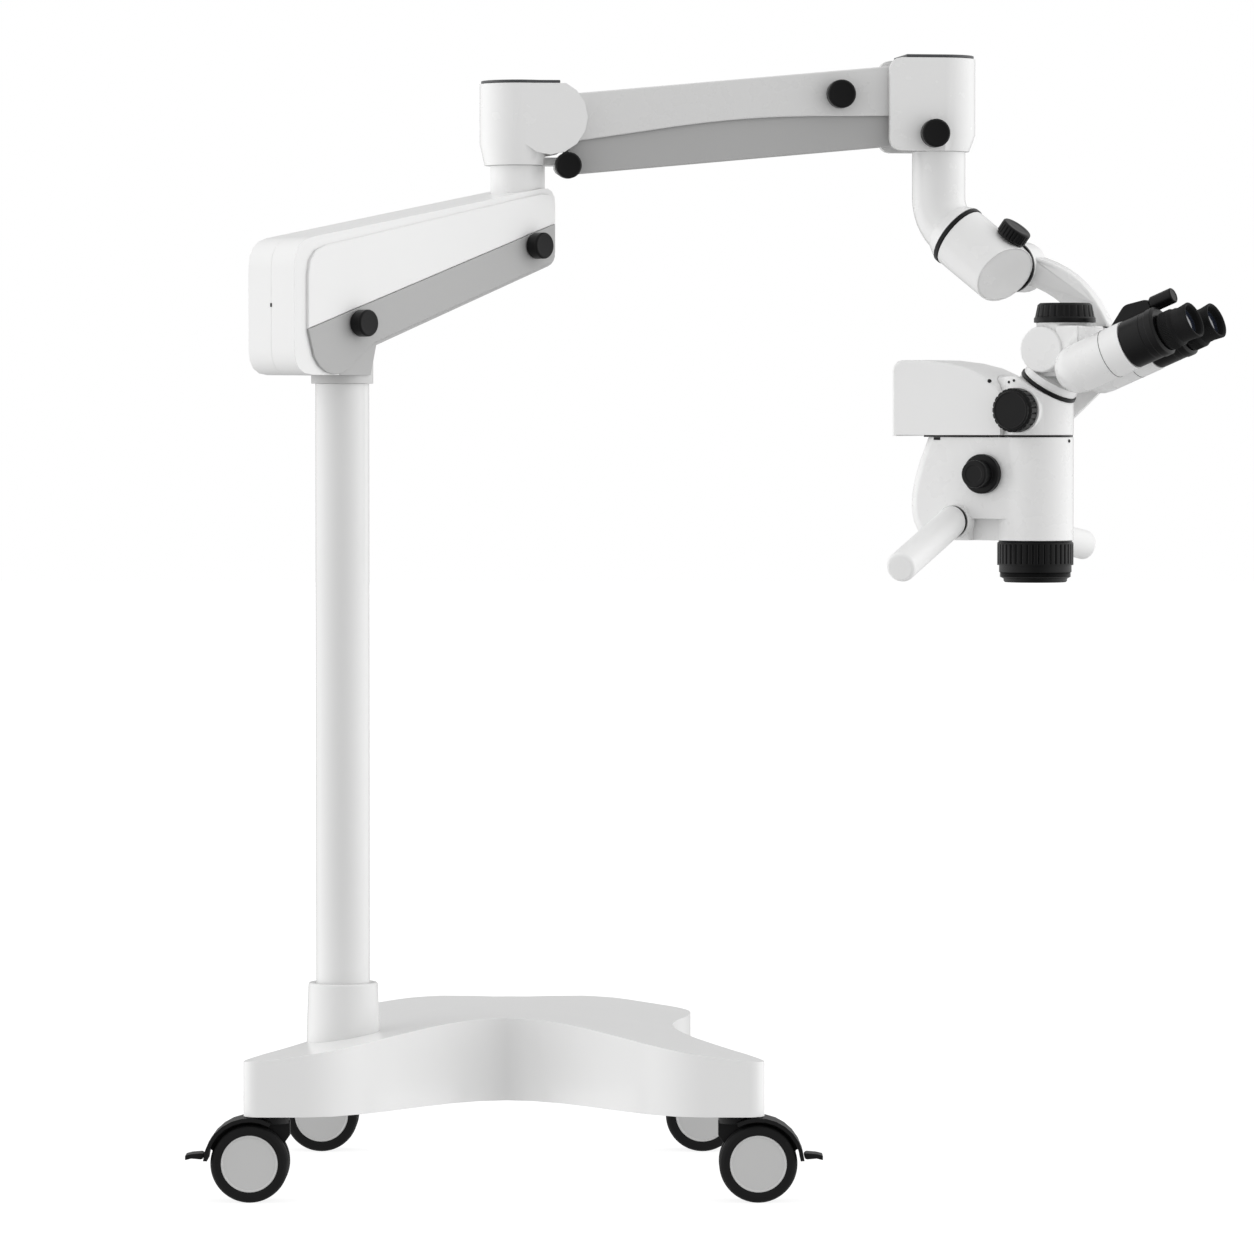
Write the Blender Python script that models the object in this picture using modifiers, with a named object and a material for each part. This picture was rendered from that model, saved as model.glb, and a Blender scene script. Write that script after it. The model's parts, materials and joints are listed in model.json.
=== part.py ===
"""Floor-standing surgical microscope: base, column, two arms, yoke and optical head.

Metres, +Z up. The origin is on the floor under the middle of the whole stand's outline.
+X runs along the stand to the eyepieces, +Y runs away from the side with the brake knobs.
"""
import math

import bmesh
import bpy
from mathutils import Euler, Matrix

# Clearances and general values
GAP = 0.0003
BEYOND = 0.200
STEPS_LARGE = 28
STEPS_MIDDLE = 24
STEPS_SMALL = 16

# Where the base's middle lies from the middle of the whole outline
BASE_SHIFT_X = 0.0003
BASE_SHIFT_Y = -0.0357

# Floor base and casters
BASE_CENTRE_X = -0.2725
BASE_HALF_DEPTH = 0.307
BASE_NEAR_HALF = 0.338
BASE_FAR_HALF = 0.240
BASE_BOTTOM = 0.110
BASE_END_HEIGHT = 0.068
BASE_RISE = 0.040
NEAR_BAY_HALF = 0.255
NEAR_BAY_DEPTH = 0.200
FAR_BAY_HALF = 0.160
FAR_BAY_DEPTH = 0.110
SIDE_BAY_DEPTH = 0.068
BASE_CORNER = 0.026
WHEEL_RADIUS = 0.050
WHEEL_WIDTH = 0.055
WHEEL_GROOVE = 0.013
WHEEL_HUB_RADIUS = 0.018
HUB_DISC_RADIUS = 0.037
CASTER_OFFSET = 0.030
CASTER_NEAR_HALF = 0.2945
CASTER_FAR_HALF = 0.2300
CASTER_DEPTH = 0.279
HOOD_WALL = 0.005
HOOD_CLEARANCE = 0.004
STEM_RADIUS = 0.021
HOOD_LOW_END = 4.0
HOOD_HIGH_END = 118.0
PEDAL_SLOPE = math.radians(8.0)
PEDAL_LENGTH = 0.020
PEDAL_WIDTH = 0.030
PEDAL_THICKNESS = 0.006

# Column
COLUMN_X = -0.4855
COLUMN_Y = -0.117
COLUMN_RADIUS = 0.035
COLUMN_WALL = 0.004
COLUMN_SEAT = 0.160
COLUMN_TOP = 1.045
SLEEVE_TOP = 0.266
SLEEVE_TOP_RADIUS = 0.0450
SLEEVE_FOOT_RADIUS = 0.0475

# Lower arm, along its own X from the column to the post, with heights from the column's top
LOWER_YAW = math.radians(46.4)
LOWER_LENGTH = 0.3247
LOWER_HALF_WIDTH = 0.043
LOWER_PANEL = 0.004
PANEL_EDGE = 0.0015
COLLAR_RADIUS = 0.0405
COLUMN_SPINDLE = 0.060
POST_RADIUS = 0.0365
POST_SHOWING = 0.0267
SHOULDER_SPINDLE_RADIUS = 0.018
SHOULDER_SPINDLE = 0.028
FRAME_HALF_WIDTH = 0.012
SPLIT_START_Z = 0.0697
SPLIT_SLOPE = 0.32
ARM_REAR = -0.126
ARM_CORNER = 0.033
ARM_FOOT_Z = 0.011
ARM_FOOT_FRONT = 0.010
ARM_RISE_X = 0.020
ARM_RISE_Z = 0.05
ARM_NOSE = 0.028
ARM_NOSE_LOW_Z = 0.1625
ARM_NOSE_LOW_CORNER = 0.015
ARM_NOSE_HIGH_Z = 0.2653
ARM_NOSE_HIGH_CORNER = 0.026
ARM_REAR_TOP_Z = 0.1823
PANEL_REAR = -0.1045
PANEL_INSET = 0.004
PANEL_LOBE_OUT = 0.048
PANEL_LOBE_RADIUS = 0.042
PANEL_RISE_X = 0.014
PANEL_RISE_Z = 0.0535
PANEL_NOSE_LOW_Z = 0.1652
PANEL_NOSE_LOW_CORNER = 0.013
PANEL_NOSE_HIGH_Z = 0.259
PANEL_REAR_TOP_Z = 0.1718
COVER_CLEARANCE = 0.0005
COLLAR_TOP = 0.1195
POST_BOTTOM = 0.1845
WEB_REAR_LOW_Z = 0.04
WEB_BEND_X = 0.030
WEB_BEND_Z = 0.053
WEB_FRONT_LOW_Z = 0.192
WEB_FRONT_HIGH_Z = 0.24
WEB_REAR_HIGH_Z = 0.11
SPINDLE_ROOT = 0.010
COLUMN_BRAKE_X = -0.0154
COLUMN_BRAKE_Z = 0.078
SHOULDER_BRAKE_X = 0.3090
SHOULDER_BRAKE_Z = 0.1844
BRAKE_KNOB_RADIUS = 0.0175
BRAKE_KNOB_LENGTH = 0.020

# Shoulder and parallelogram, with heights from the post's top
UPPER_YAW = math.radians(8.0)
LINK_LENGTH = 0.475
LINK_REST = math.radians(5.3)
FRONT_PIVOT_BACK = 0.0610
UPPER_PIVOT_OUT = 0.038
UPPER_PIVOT_Z = 0.0635
LOWER_PIVOT_OUT = 0.0625
LOWER_PIVOT_Z = -0.0005
SHOULDER_RADIUS = 0.051
SHOULDER_FOOT_RADIUS = 0.0445
SHOULDER_OVER_PIVOT = 0.045
CHEEK_RADIUS = 0.050
SHOULDER_TAPER = 0.029
CLEVIS_HALF = 0.0372
CLEVIS_BACK = 0.006
CLEVIS_FLOOR = 0.003
CLEVIS_MOUTH_BACK = 0.032
LUG_CLEARANCE = 0.0012
LUG_BACK = 0.020
LUG_HEIGHT = 0.010
LUG_EYE_RADIUS = 0.0105
PIN_SEAT = 0.044
PIN_PROUD = 0.003
CAP_THICKNESS = 0.004
CAP_INSET = 0.002
SHOULDER_CAP_FRONT = 0.052
SHOULDER_CAP_HALF = 0.044
UPPER_LINK_HALF = 0.034
UPPER_LINK_EDGE = 0.002
LOWER_LINK_HALF = 0.0290
LINK_WALL = 0.003
UPPER_LINK_TOP = 0.029
UPPER_LINK_REAR_DEPTH = 0.0345
UPPER_LINK_FRONT_DEPTH = 0.0376
UPPER_LINK_ARCH_DEPTH = 0.0245
UPPER_LINK_ARCH_REAR = 0.034
UPPER_LINK_ARCH_FRONT = 0.016
LOWER_LINK_FOOT = 0.011
LOWER_LINK_RISE = 0.044
LOWER_LINK_INSET = 0.020
LOWER_LINK_CORNER = 0.004
LOWER_LINK_MOUTH = 0.022
PIN_RADIUS = 0.007
LOWER_PIN_RADIUS = 0.005
ARM_KNOB_RADIUS = 0.0190
ARM_KNOB_LENGTH = 0.020
SPRING_RADIUS = 0.010
SPRING_ROD_RADIUS = 0.004
SPRING_PIN_RADIUS = 0.005
SPRING_HEIGHT = 0.010
SPRING_REAR = 0.085
SPRING_FRONT_BACK = 0.045
SPRING_ROD_SHOWING = 0.130
SPRING_BORE_DEPTH = 0.060
ADJUST_KNOB_BACK = 0.081
ADJUST_KNOB_DROP = 0.003

# Front housing, elbow and roll housing
FRONT_RADIUS = 0.049
FRONT_BACK = 0.0755
FRONT_UNDER_PIVOT = 0.021376
FRONT_OVER_PIVOT = 0.039124
FRONT_CORNER = 0.016
FRONT_TAPER_HEIGHT = 0.022
FRONT_TAPER = 0.008
FRONT_CAP_BACK = 0.053
FRONT_BRAKE_X = -0.016
FRONT_BRAKE_RISE = 0.0227
FRONT_SPINDLE_RADIUS = 0.014
FRONT_SPINDLE = 0.060
HEAD_YAW = math.radians(-30.0)
ELBOW_DROP = 0.091
ELBOW_RADIUS = 0.036
ELBOW_FLARE = 0.016
ELBOW_BEND = 0.060
ROLL_SLOPE = math.radians(37.0)
RING_START = 0.0343
RING_THICKNESS = 0.006
RING_RADIUS = 0.0440
ROLL_RADIUS = 0.043
ROLL_END = 0.125
ROLL_END_TURN = math.radians(18.0)
ROLL_SPINDLE_RADIUS = 0.020
ROLL_SPINDLE = 0.026
TILT_AT = 0.105
TILT_BOSS_RADIUS = 0.033
TILT_BOSS_FACE = 0.046
TILT_RING_THICKNESS = 0.005
TILT_SPINDLE_RADIUS = 0.012
TILT_SPINDLE = 0.026
TILT_BORE_DEPTH = 0.030
ROLL_KNOB_BACK = 0.003
KNOB_EDGE = 0.002
ROLL_KNOB_RADIUS = 0.0215
ROLL_KNOB_LENGTH = 0.019

# Yoke, along the head's own X (forward) and Y (far side), with heights from the parting line
YOKE_UPPER_RADIUS = 0.034
YOKE_LOWER_RADIUS = 0.040
YOKE_WIDTH = 0.039
YOKE_EDGE = 0.004
YOKE_HUB_PROUD = 0.004
YOKE_UPPER_FAR_FACE = 0.092
YOKE_FAR_FACE = 0.104
YOKE_KNEE_X = 0.026
YOKE_KNEE_Z = 0.2175
YOKE_LEAN_START = 0.010
YOKE_LEAN_END = 0.034
HUB_FORWARD = 0.064
HUB_Z = 0.1085
HUB_EDGE = 0.003
HUB_BORE_DEPTH = 0.016
HUB_SPINDLE = 0.016
HUB_SPINDLE_ROOT = 0.004
HEAD_RING_THICKNESS = 0.004
CARRIER_THICKNESS = 0.007
CARRIER_NEAR_FACE = 0.0692
CARRIER_PAD_Z = 0.0355
CARRIER_ROOT = 0.003

# Head
HEAD_REACH = 0.1462
HEAD_DROP = 0.2915
BODY_RADIUS = 0.051
LOWER_BODY_BOTTOM = -0.1395
PARTING = 0.003
REGISTER_INSET = 0.005
REAR_HALF = 0.047
REAR_BACK = 0.171
REAR_EDGE = 0.018
REAR_EDGE_FRONT = -0.140
REAR_TOP_LEAN = 0.026
REAR_FOOT_LEAN = 0.021
REAR_PULL = 0.022
REAR_PULL_Z = -0.1058
NOTCH_BACK = 0.076
NOTCH_FRONT = 0.010
NOTCH_DEPTH = 0.014
NOTCH_HEIGHT = 0.029
PAD_RIM = 0.002
UPPER_BODY_TOP = 0.0795
UPPER_BODY_RIM = 0.003
NECK_FORWARD = 0.018
NECK_Z = 0.065
NECK_TILT = math.radians(32.0)
NECK_RADIUS = 0.0395
PAD_RADIUS = 0.023
PAD_FACE = 0.052
HOUSING_BACK = 0.189
HOUSING_FRONT = 0.0257
HOUSING_HALF = 0.055
HOUSING_TOP = 0.102
HOUSING_EDGE = 0.005
HOUSING_LIP = 0.0015
HOUSING_REAR_CORNER = 0.014
HOUSING_SLOPE = 0.113
HOUSING_FRONT_DROP = 0.047
HOUSING_PULL = 0.0152
HOUSING_PULL_DROP = 0.0075
HOUSING_KNOB_ROOM = 0.0035
OBJECTIVE_RADIUS = 0.0510
OBJECTIVE_LIP_RADIUS = 0.0490
OBJECTIVE_KNURL_LENGTH = 0.033
OBJECTIVE_LENGTH = 0.056
LENS_RADIUS = 0.036
LENS_LEDGE = 0.002
LENS_SEAT = 0.004
LENS_CROWN = 0.0025
LENS_RIM = 0.005
OBJECTIVE_LIP_HEIGHT = 0.007
OBJECTIVE_MOUTH = 0.0045
MAG_KNOB_RADIUS = 0.0295
MAG_KNOB_LENGTH = 0.024
MAG_KNOB_Z = 0.0345
MAG_FACE_RADIUS = 0.0212
MAG_FACE_EDGE_RADIUS = 0.0236
MAG_RIM_RADIUS = 0.0254
MAG_RIM_DROP = 0.006
FILTER_KNOB_X = -0.054
FILTER_KNOB_Z = -0.0505
FILTER_BASE_RADIUS = 0.0265
FILTER_FRONT_RADIUS = 0.0185
FILTER_BASE_LENGTH = 0.010
FILTER_KNOB_LENGTH = 0.030
FOCUS_KNOB_RADIUS = 0.019
FOCUS_KNOB_LENGTH = 0.022
HANDLE_X = -0.095
HANDLE_Z = -0.1145
HANDLE_RADIUS = 0.0205
HANDLE_SIDE = 0.203
HANDLE_REACH = 0.0615
HANDLE_BOSS_RIM = 0.0025
HANDLE_BOSS_FACE = 0.056
HANDLE_RING_THICKNESS = 0.004
HANDLE_SOCKET_DEPTH = 0.015
HANDLE_NECK = 0.004
NEAR_HANDLE_TURN = math.radians(70.0)
FAR_HANDLE_TURN = math.radians(36.5)

# Binocular
INTERFACE_THICKNESS = 0.005
INTERFACE_BORE = 0.024
TUBE_NECK_LENGTH = 0.0105
INCLINE_X = 0.028
INCLINE_Z = 0.1155
INCLINE_HUB_RADIUS = 0.018
INCLINE_HUB_HALF = 0.024
INCLINE_WEB_DROP = 0.036
INCLINE_SLOT_FRONT = 0.0475
INCLINE_SLOT_DROP = 0.060
TRUNNION_REACH = 0.006
CHEEK_EDGE = 0.003
CHEEK_DISC_RADIUS = 0.031
CHEEK_DISC_HALF = 0.043
PORT_X = 0.043
PORT_RADIUS = 0.038
PORT_BOTTOM = 0.137
PORT_TOP = 0.151
PORT_CAP_RADIUS = 0.0412
PORT_CAP_TOP_RADIUS = 0.033
PORT_CAP_TOP = 0.1775
PORT_CAP_FOOT = 0.005
PORT_CAP_WAIST = 0.008
PORT_CAP_CHAMFER = 0.004
FRONT_BRIDGE_BACK = 0.048
FRONT_BRIDGE_FRONT = 0.082
FRONT_BRIDGE_BOTTOM = 0.1015
FRONT_BRIDGE_TOP = 0.147
EYE_SLOPE = math.radians(22.0)
EYE_HALF = 0.035
BARREL_RADIUS = 0.0335
BARREL_ROOT_X = 0.082
BARREL_ROOT_Z = 0.0905
BARREL_WHITE_END = 0.080
EYE_TUBE_LENGTH = 0.053
EYE_TUBE_OFFSET = 0.004
EYE_TUBE_BAND = 0.012
EYE_SPIGOT_RADIUS = 0.012
EYE_SPIGOT = 0.019
EYEPIECE_SPIGOT_RADIUS = 0.016
EYEPIECE_SPIGOT = 0.012
EYEPIECE_RADIUS = 0.0260
EYEPIECE_BAND_LOW = 0.003
EYEPIECE_BAND_HIGH = 0.017
EYECUP_LOW = 0.020
EYECUP_RADIUS = 0.0245
EYECUP_WALL = 0.006
EYECUP_DEPTH = 0.010
EYEPIECE_LENGTH = 0.045
EYE_BRIDGE_HALF = 0.010
EYE_BRIDGE_BACK = 0.030
EYE_BRIDGE_FRONT = 0.034
EYE_BRIDGE_OVER = 0.002
EYE_BRIDGE_RISE = 0.022
EYE_BRIDGE_NOSE_RISE = 0.0165
EYE_BRIDGE_CORNER = 0.006
EYE_DIAL_RADIUS = 0.0105
EYE_DIAL_LENGTH = 0.034
EYE_DIAL_HEIGHT = 0.0085
EYE_DIAL_SHAFT_RADIUS = 0.004
EYE_DIAL_SHAFT = 0.019


# Workshop helpers

for leftover in list(bpy.data.objects):
    bpy.data.objects.remove(leftover, do_unlink=True)

PARTS = bpy.data.collections.new("surgical_microscope")
CUTTERS = bpy.data.collections.new("cutters")
for group in (PARTS, CUTTERS):
    bpy.context.scene.collection.children.link(group)


def paint(name, colour, roughness, metallic=0.0):
    """A plain finish for one kind of material."""
    finish = bpy.data.materials.new(name)
    finish.use_nodes = True
    shader = finish.node_tree.nodes["Principled BSDF"]
    shader.inputs["Base Color"].default_value = (*colour, 1.0)
    shader.inputs["Roughness"].default_value = roughness
    shader.inputs["Metallic"].default_value = metallic
    return finish


FINISHES = {
    "white_paint": ((0.86, 0.87, 0.87), 0.35),
    "grey_plastic": ((0.42, 0.43, 0.44), 0.45),
    "light_grey": ((0.60, 0.61, 0.62), 0.45),
    "black_plastic": ((0.018, 0.018, 0.019), 0.40),
    "black_metal": ((0.020, 0.020, 0.022), 0.35),
    "rubber": ((0.016, 0.016, 0.016), 0.80),
    "steel": ((0.55, 0.56, 0.57), 0.30),
    "lens_glass": ((0.10, 0.12, 0.14), 0.05),
}


def frame_at(name, position, turn=(0.0, 0.0, 0.0), parent=None):
    """An empty that carries one assembly on its joint's axis."""
    empty = bpy.data.objects.new(name, None)
    empty.location = position
    empty.rotation_euler = Euler(turn)
    empty.parent = parent
    PARTS.objects.link(empty)
    return empty


def place(name, mesh, frame, finish, at=(0.0, 0.0, 0.0), turn=(0.0, 0.0, 0.0)):
    """A named piece, or a cutter where it has no finish."""
    piece = bpy.data.objects.new(name, mesh)
    piece.location = at
    piece.rotation_euler = Euler(turn)
    piece.parent = frame
    if finish is None:
        CUTTERS.objects.link(piece)
        piece.hide_render = True
        piece.display_type = "WIRE"
        return piece
    PARTS.objects.link(piece)
    colour, roughness = FINISHES[finish]
    metallic = 1.0 if finish == "steel" else 0.0
    mesh.materials.append(paint(name, colour, roughness, metallic))
    return piece


def smooth(mesh, limit=math.radians(35)):
    mesh.shade_smooth()
    mesh.set_sharp_from_angle(angle=limit)


def cylinder(name, radius, length, frame, finish, at=(0.0, 0.0, 0.0), along="Z",
             top_radius=None, steps=STEPS_LARGE, edge=0.0):
    """A round bar centred at a point, with its ends across X, Y or Z."""
    build = bmesh.new()
    end_radius = radius if top_radius is None else top_radius
    bmesh.ops.create_cone(build, cap_ends=True, segments=steps, radius1=radius,
                          radius2=end_radius, depth=length)
    if edge > 0.0:
        rims = [e for e in build.edges if abs(e.verts[0].co.z - e.verts[1].co.z) < GAP]
        bmesh.ops.bevel(build, geom=rims, offset=edge, segments=2, affect="EDGES",
                        profile=0.5, material=-1)
    mesh = bpy.data.meshes.new(name)
    build.to_mesh(mesh)
    build.free()
    smooth(mesh)
    quarter = math.pi / 2
    turns = {"Z": (0.0, 0.0, 0.0), "Y": (-quarter, 0.0, 0.0), "X": (0.0, quarter, 0.0)}
    return place(name, mesh, frame, finish, at, turns[along])


def block(name, low, high, frame, finish, edge=0.0, segments=2):
    """A box between two corners, with rounded edges where asked."""
    build = bmesh.new()
    bmesh.ops.create_cube(build, size=1.0)
    size = [h - l for l, h in zip(low, high)]
    bmesh.ops.scale(build, vec=size, verts=build.verts)
    if edge > 0.0:
        bmesh.ops.bevel(build, geom=build.edges, offset=edge, segments=segments,
                        affect="EDGES", profile=0.5, material=-1)
    mesh = bpy.data.meshes.new(name)
    build.to_mesh(mesh)
    build.free()
    smooth(mesh)
    middle = [(l + h) / 2 for l, h in zip(low, high)]
    return place(name, mesh, frame, finish, middle)


def turned(name, profile, frame, finish, at=(0.0, 0.0, 0.0), turn=(0.0, 0.0, 0.0),
           steps=STEPS_LARGE, closed=False):
    """A turned piece: radius and height pairs down its outer side, spun about Z."""
    count = len(profile)
    edges = [(i, i + 1) for i in range(count - 1)]
    if closed:
        edges.append((count - 1, 0))
    mesh = bpy.data.meshes.new(name)
    mesh.from_pydata([(radius, 0.0, height) for radius, height in profile], edges, [])
    piece = place(name, mesh, frame, finish, at, turn)
    screw = piece.modifiers.new("turn", "SCREW")
    screw.steps = steps
    screw.render_steps = steps
    screw.use_merge_vertices = True
    screw.merge_threshold = 0.0001
    screw.use_smooth_shade = True
    return piece


def prism(name, outline, low, high, frame, finish, plane="XZ", edge=0.0, corner=0.0,
          segments=2, only_behind=math.inf):
    """A flat outline given a thickness: XZ runs along Y, XY along Z."""
    curve = bpy.data.curves.new(name, "CURVE")
    curve.dimensions = "2D"
    curve.fill_mode = "BOTH"
    curve.extrude = (high - low) / 2
    spline = curve.splines.new("POLY")
    spline.points.add(len(outline) - 1)
    for point, (across, up) in zip(spline.points, outline):
        point.co = (across, up, 0.0, 1.0)
    spline.use_cyclic_u = True
    sketch = bpy.data.objects.new(name + "_sketch", curve)
    PARTS.objects.link(sketch)
    depsgraph = bpy.context.evaluated_depsgraph_get()
    mesh = bpy.data.meshes.new_from_object(sketch.evaluated_get(depsgraph))
    bpy.data.objects.remove(sketch, do_unlink=True)
    mesh.name = name
    build = bmesh.new()
    build.from_mesh(mesh)
    bmesh.ops.remove_doubles(build, verts=build.verts, dist=0.00001)
    bmesh.ops.dissolve_limit(build, angle_limit=math.radians(0.5), verts=build.verts,
                             edges=build.edges)
    if corner > 0.0:
        uprights = [e for e in build.edges
                    if abs(e.verts[0].co.z - e.verts[1].co.z) > GAP
                    and e.calc_face_angle(0.0) > math.radians(40)]
        bmesh.ops.bevel(build, geom=uprights, offset=corner, segments=4, affect="EDGES",
                        profile=0.5, material=-1)
    if edge > 0.0:
        rims = [e for e in build.edges
                if abs(e.verts[0].co.z - e.verts[1].co.z) < GAP
                and max(v.co.x for v in e.verts) < only_behind
                and e.calc_face_angle(0.0) > math.radians(60)]
        bmesh.ops.bevel(build, geom=rims, offset=edge, segments=segments, affect="EDGES",
                        profile=0.5, material=-1)
    middle = (low + high) / 2
    if plane == "XZ":
        turn = Matrix.Rotation(math.pi / 2, 4, "X")
        bmesh.ops.transform(build, matrix=Matrix.Translation((0.0, middle, 0.0)) @ turn,
                            verts=build.verts)
    else:
        bmesh.ops.translate(build, vec=(0.0, 0.0, middle), verts=build.verts)
    bmesh.ops.recalc_face_normals(build, faces=build.faces)
    build.to_mesh(mesh)
    build.free()
    smooth(mesh)
    return place(name, mesh, frame, finish)


def tube(name, points, radius, frame, finish, sides=5):
    """A round tube along points, with closed ends."""
    curve = bpy.data.curves.new(name, "CURVE")
    curve.dimensions = "3D"
    curve.bevel_depth = radius
    curve.bevel_resolution = sides
    curve.use_fill_caps = True
    spline = curve.splines.new("POLY")
    spline.points.add(len(points) - 1)
    for point, place_of in zip(spline.points, points):
        point.co = (*place_of, 1.0)
    sketch = bpy.data.objects.new(name + "_sketch", curve)
    PARTS.objects.link(sketch)
    depsgraph = bpy.context.evaluated_depsgraph_get()
    mesh = bpy.data.meshes.new_from_object(sketch.evaluated_get(depsgraph))
    bpy.data.objects.remove(sketch, do_unlink=True)
    mesh.name = name
    build = bmesh.new()
    build.from_mesh(mesh)
    bmesh.ops.remove_doubles(build, verts=build.verts, dist=0.00001)
    bmesh.ops.recalc_face_normals(build, faces=build.faces)
    build.to_mesh(mesh)
    build.free()
    smooth(mesh)
    return place(name, mesh, frame, finish)


def combine(piece, operation, tools):
    for tool in tools:
        step = piece.modifiers.new(tool.name, "BOOLEAN")
        step.operation = operation
        step.solver = "EXACT"
        step.object = tool


def add_to(piece, *tools):
    """Joins shapes to a piece."""
    combine(piece, "UNION", tools)


def cut_from(piece, *tools):
    """Takes shapes out of a piece."""
    combine(piece, "DIFFERENCE", tools)


def keep_inside(piece, *tools):
    """Keeps only what lies in the shapes too."""
    combine(piece, "INTERSECT", tools)


def arc(centre, radius, start, end, count):
    """Points of a round stretch, from one angle in degrees to another."""
    points = []
    for i in range(count + 1):
        angle = math.radians(start + (end - start) * i / count)
        points.append((centre[0] + radius * math.cos(angle), centre[1] + radius * math.sin(angle)))
    return points


def swept(start, pull, end, count):
    """Points along a smooth curve that sets out towards one point and arrives from it."""
    points = []
    for i in range(count + 1):
        t = i / count
        points.append(tuple((1 - t) ** 2 * a + 2 * t * (1 - t) * b + t * t * c
                            for a, b, c in zip(start, pull, end)))
    return points


def eased(corners, steps=3):
    """An outline from corners given as X, Z and the length that each is rounded off by."""
    points = []
    for i, (x, z, size) in enumerate(corners):
        if size == 0.0:
            points.append((x, z))
            continue
        ends = []
        for other_x, other_z, _ in (corners[i - 1], corners[(i + 1) % len(corners)]):
            share = size / math.hypot(other_x - x, other_z - z)
            ends.append((x + (other_x - x) * share, z + (other_z - z) * share))
        points += swept(ends[0], (x, z), ends[1], steps)
    return points


def bow(share):
    """A smooth hump: 1 in the middle of a span, 0 at its ends (-1 and 1)."""
    return math.cos(math.pi / 2 * max(-1.0, min(1.0, share))) ** 2


# Floor base: one casting on four casters

STAND = frame_at("stand", (BASE_SHIFT_X, BASE_SHIFT_Y, 0.0))


def base_outline():
    """The X-shaped plan, counter-clockwise from the near left corner."""
    count = 14
    near = []
    for i in range(count + 1):
        share = 2 * i / count - 1
        near.append((BASE_CENTRE_X + NEAR_BAY_HALF * share,
                     -BASE_HALF_DEPTH + NEAR_BAY_DEPTH * bow(share)))
    far = []
    for i in range(count + 1):
        share = 1 - 2 * i / count
        far.append((BASE_CENTRE_X + FAR_BAY_HALF * share,
                    BASE_HALF_DEPTH - FAR_BAY_DEPTH * bow(share)))
    right = []
    left = []
    for i in range(count + 1):
        share = 2 * i / count - 1
        half = (BASE_NEAR_HALF + BASE_FAR_HALF) / 2 + share * (BASE_FAR_HALF - BASE_NEAR_HALF) / 2
        half -= SIDE_BAY_DEPTH * bow(share)
        right.append((BASE_CENTRE_X + half, share * BASE_HALF_DEPTH))
        left.append((BASE_CENTRE_X - half, share * BASE_HALF_DEPTH))
    return near + right + far + left[::-1]


def base_crown():
    """The casting's height along X: low at the leg ends, high in the middle."""
    reach = BASE_NEAR_HALF + WHEEL_RADIUS
    foot = BASE_BOTTOM - BASE_RISE
    points = [(BASE_CENTRE_X - reach, foot), (BASE_CENTRE_X + reach, foot)]
    count = 16
    for i in range(count + 1):
        share = 1 - 2 * i / count
        height = BASE_BOTTOM + BASE_END_HEIGHT + BASE_RISE * bow(share)
        points.append((BASE_CENTRE_X + reach * share, height))
    return points


def make_base():
    top = BASE_BOTTOM + BASE_END_HEIGHT + 2 * BASE_RISE
    casting = prism("base_casting", base_outline(), BASE_BOTTOM, top, STAND, "white_paint",
                    plane="XY", corner=BASE_CORNER)
    crown = prism("base_crown", base_crown(), -2 * BASE_HALF_DEPTH, 2 * BASE_HALF_DEPTH,
                  STAND, None)
    keep_inside(casting, crown)
    pocket = cylinder("sleeve_pocket", SLEEVE_FOOT_RADIUS + GAP, top - COLUMN_SEAT, STAND, None,
                      at=(COLUMN_X, COLUMN_Y, (top + COLUMN_SEAT) / 2))
    cut_from(casting, pocket)
    rounding = casting.modifiers.new("rounded edges", "BEVEL")
    rounding.width = 0.007
    rounding.segments = 2
    rounding.limit_method = "ANGLE"
    rounding.angle_limit = math.radians(60)


def make_caster(corner, side, depth, braked):
    """A swivel fork with a curved hood over a twin wheel."""
    half = CASTER_NEAR_HALF if depth < 0 else CASTER_FAR_HALF
    stem_x = BASE_CENTRE_X + side * half
    swivel = frame_at(corner + "_swivel", (stem_x, depth * CASTER_DEPTH, 0.0),
                      (0.0, 0.0, 0.0 if side > 0 else math.pi), STAND)
    hood_inner = WHEEL_RADIUS + HOOD_CLEARANCE
    hood_outer = hood_inner + HOOD_WALL
    axle = (CASTER_OFFSET, WHEEL_RADIUS)
    hood = arc(axle, hood_outer, HOOD_LOW_END, HOOD_HIGH_END, 9)
    hood += arc(axle, hood_inner, HOOD_HIGH_END, HOOD_LOW_END, 9)
    fork = prism("fork_" + corner, hood, -WHEEL_WIDTH / 2, WHEEL_WIDTH / 2, swivel,
                 "black_plastic")
    web_half = WHEEL_GROOVE / 2 - GAP
    web_outline = arc(axle, hood_inner + HOOD_WALL / 2, 20, 110, 6)
    web_outline += [(-STEM_RADIUS, hood_outer + WHEEL_RADIUS - HOOD_WALL), (-STEM_RADIUS, 0.085)]
    web_outline += arc(axle, 0.024, 190, 350, 8)
    web = prism("web_" + corner, web_outline, -web_half, web_half, swivel, None)
    stem_low = 2 * WHEEL_RADIUS + GAP
    stem = cylinder("stem_" + corner, STEM_RADIUS, BASE_BOTTOM - GAP - stem_low, swivel, None,
                    at=(0.0, 0.0, (BASE_BOTTOM - GAP + stem_low) / 2), steps=STEPS_SMALL)
    add_to(fork, web, stem)
    bore = cylinder("axle_bore_" + corner, WHEEL_HUB_RADIUS + GAP, WHEEL_WIDTH, swivel, None,
                    at=(CASTER_OFFSET, 0.0, WHEEL_RADIUS), along="Y", steps=STEPS_MIDDLE)
    cut_from(fork, bore)
    make_wheel(corner, swivel)
    if braked:
        make_pedal(corner, swivel, hood_outer)


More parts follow.
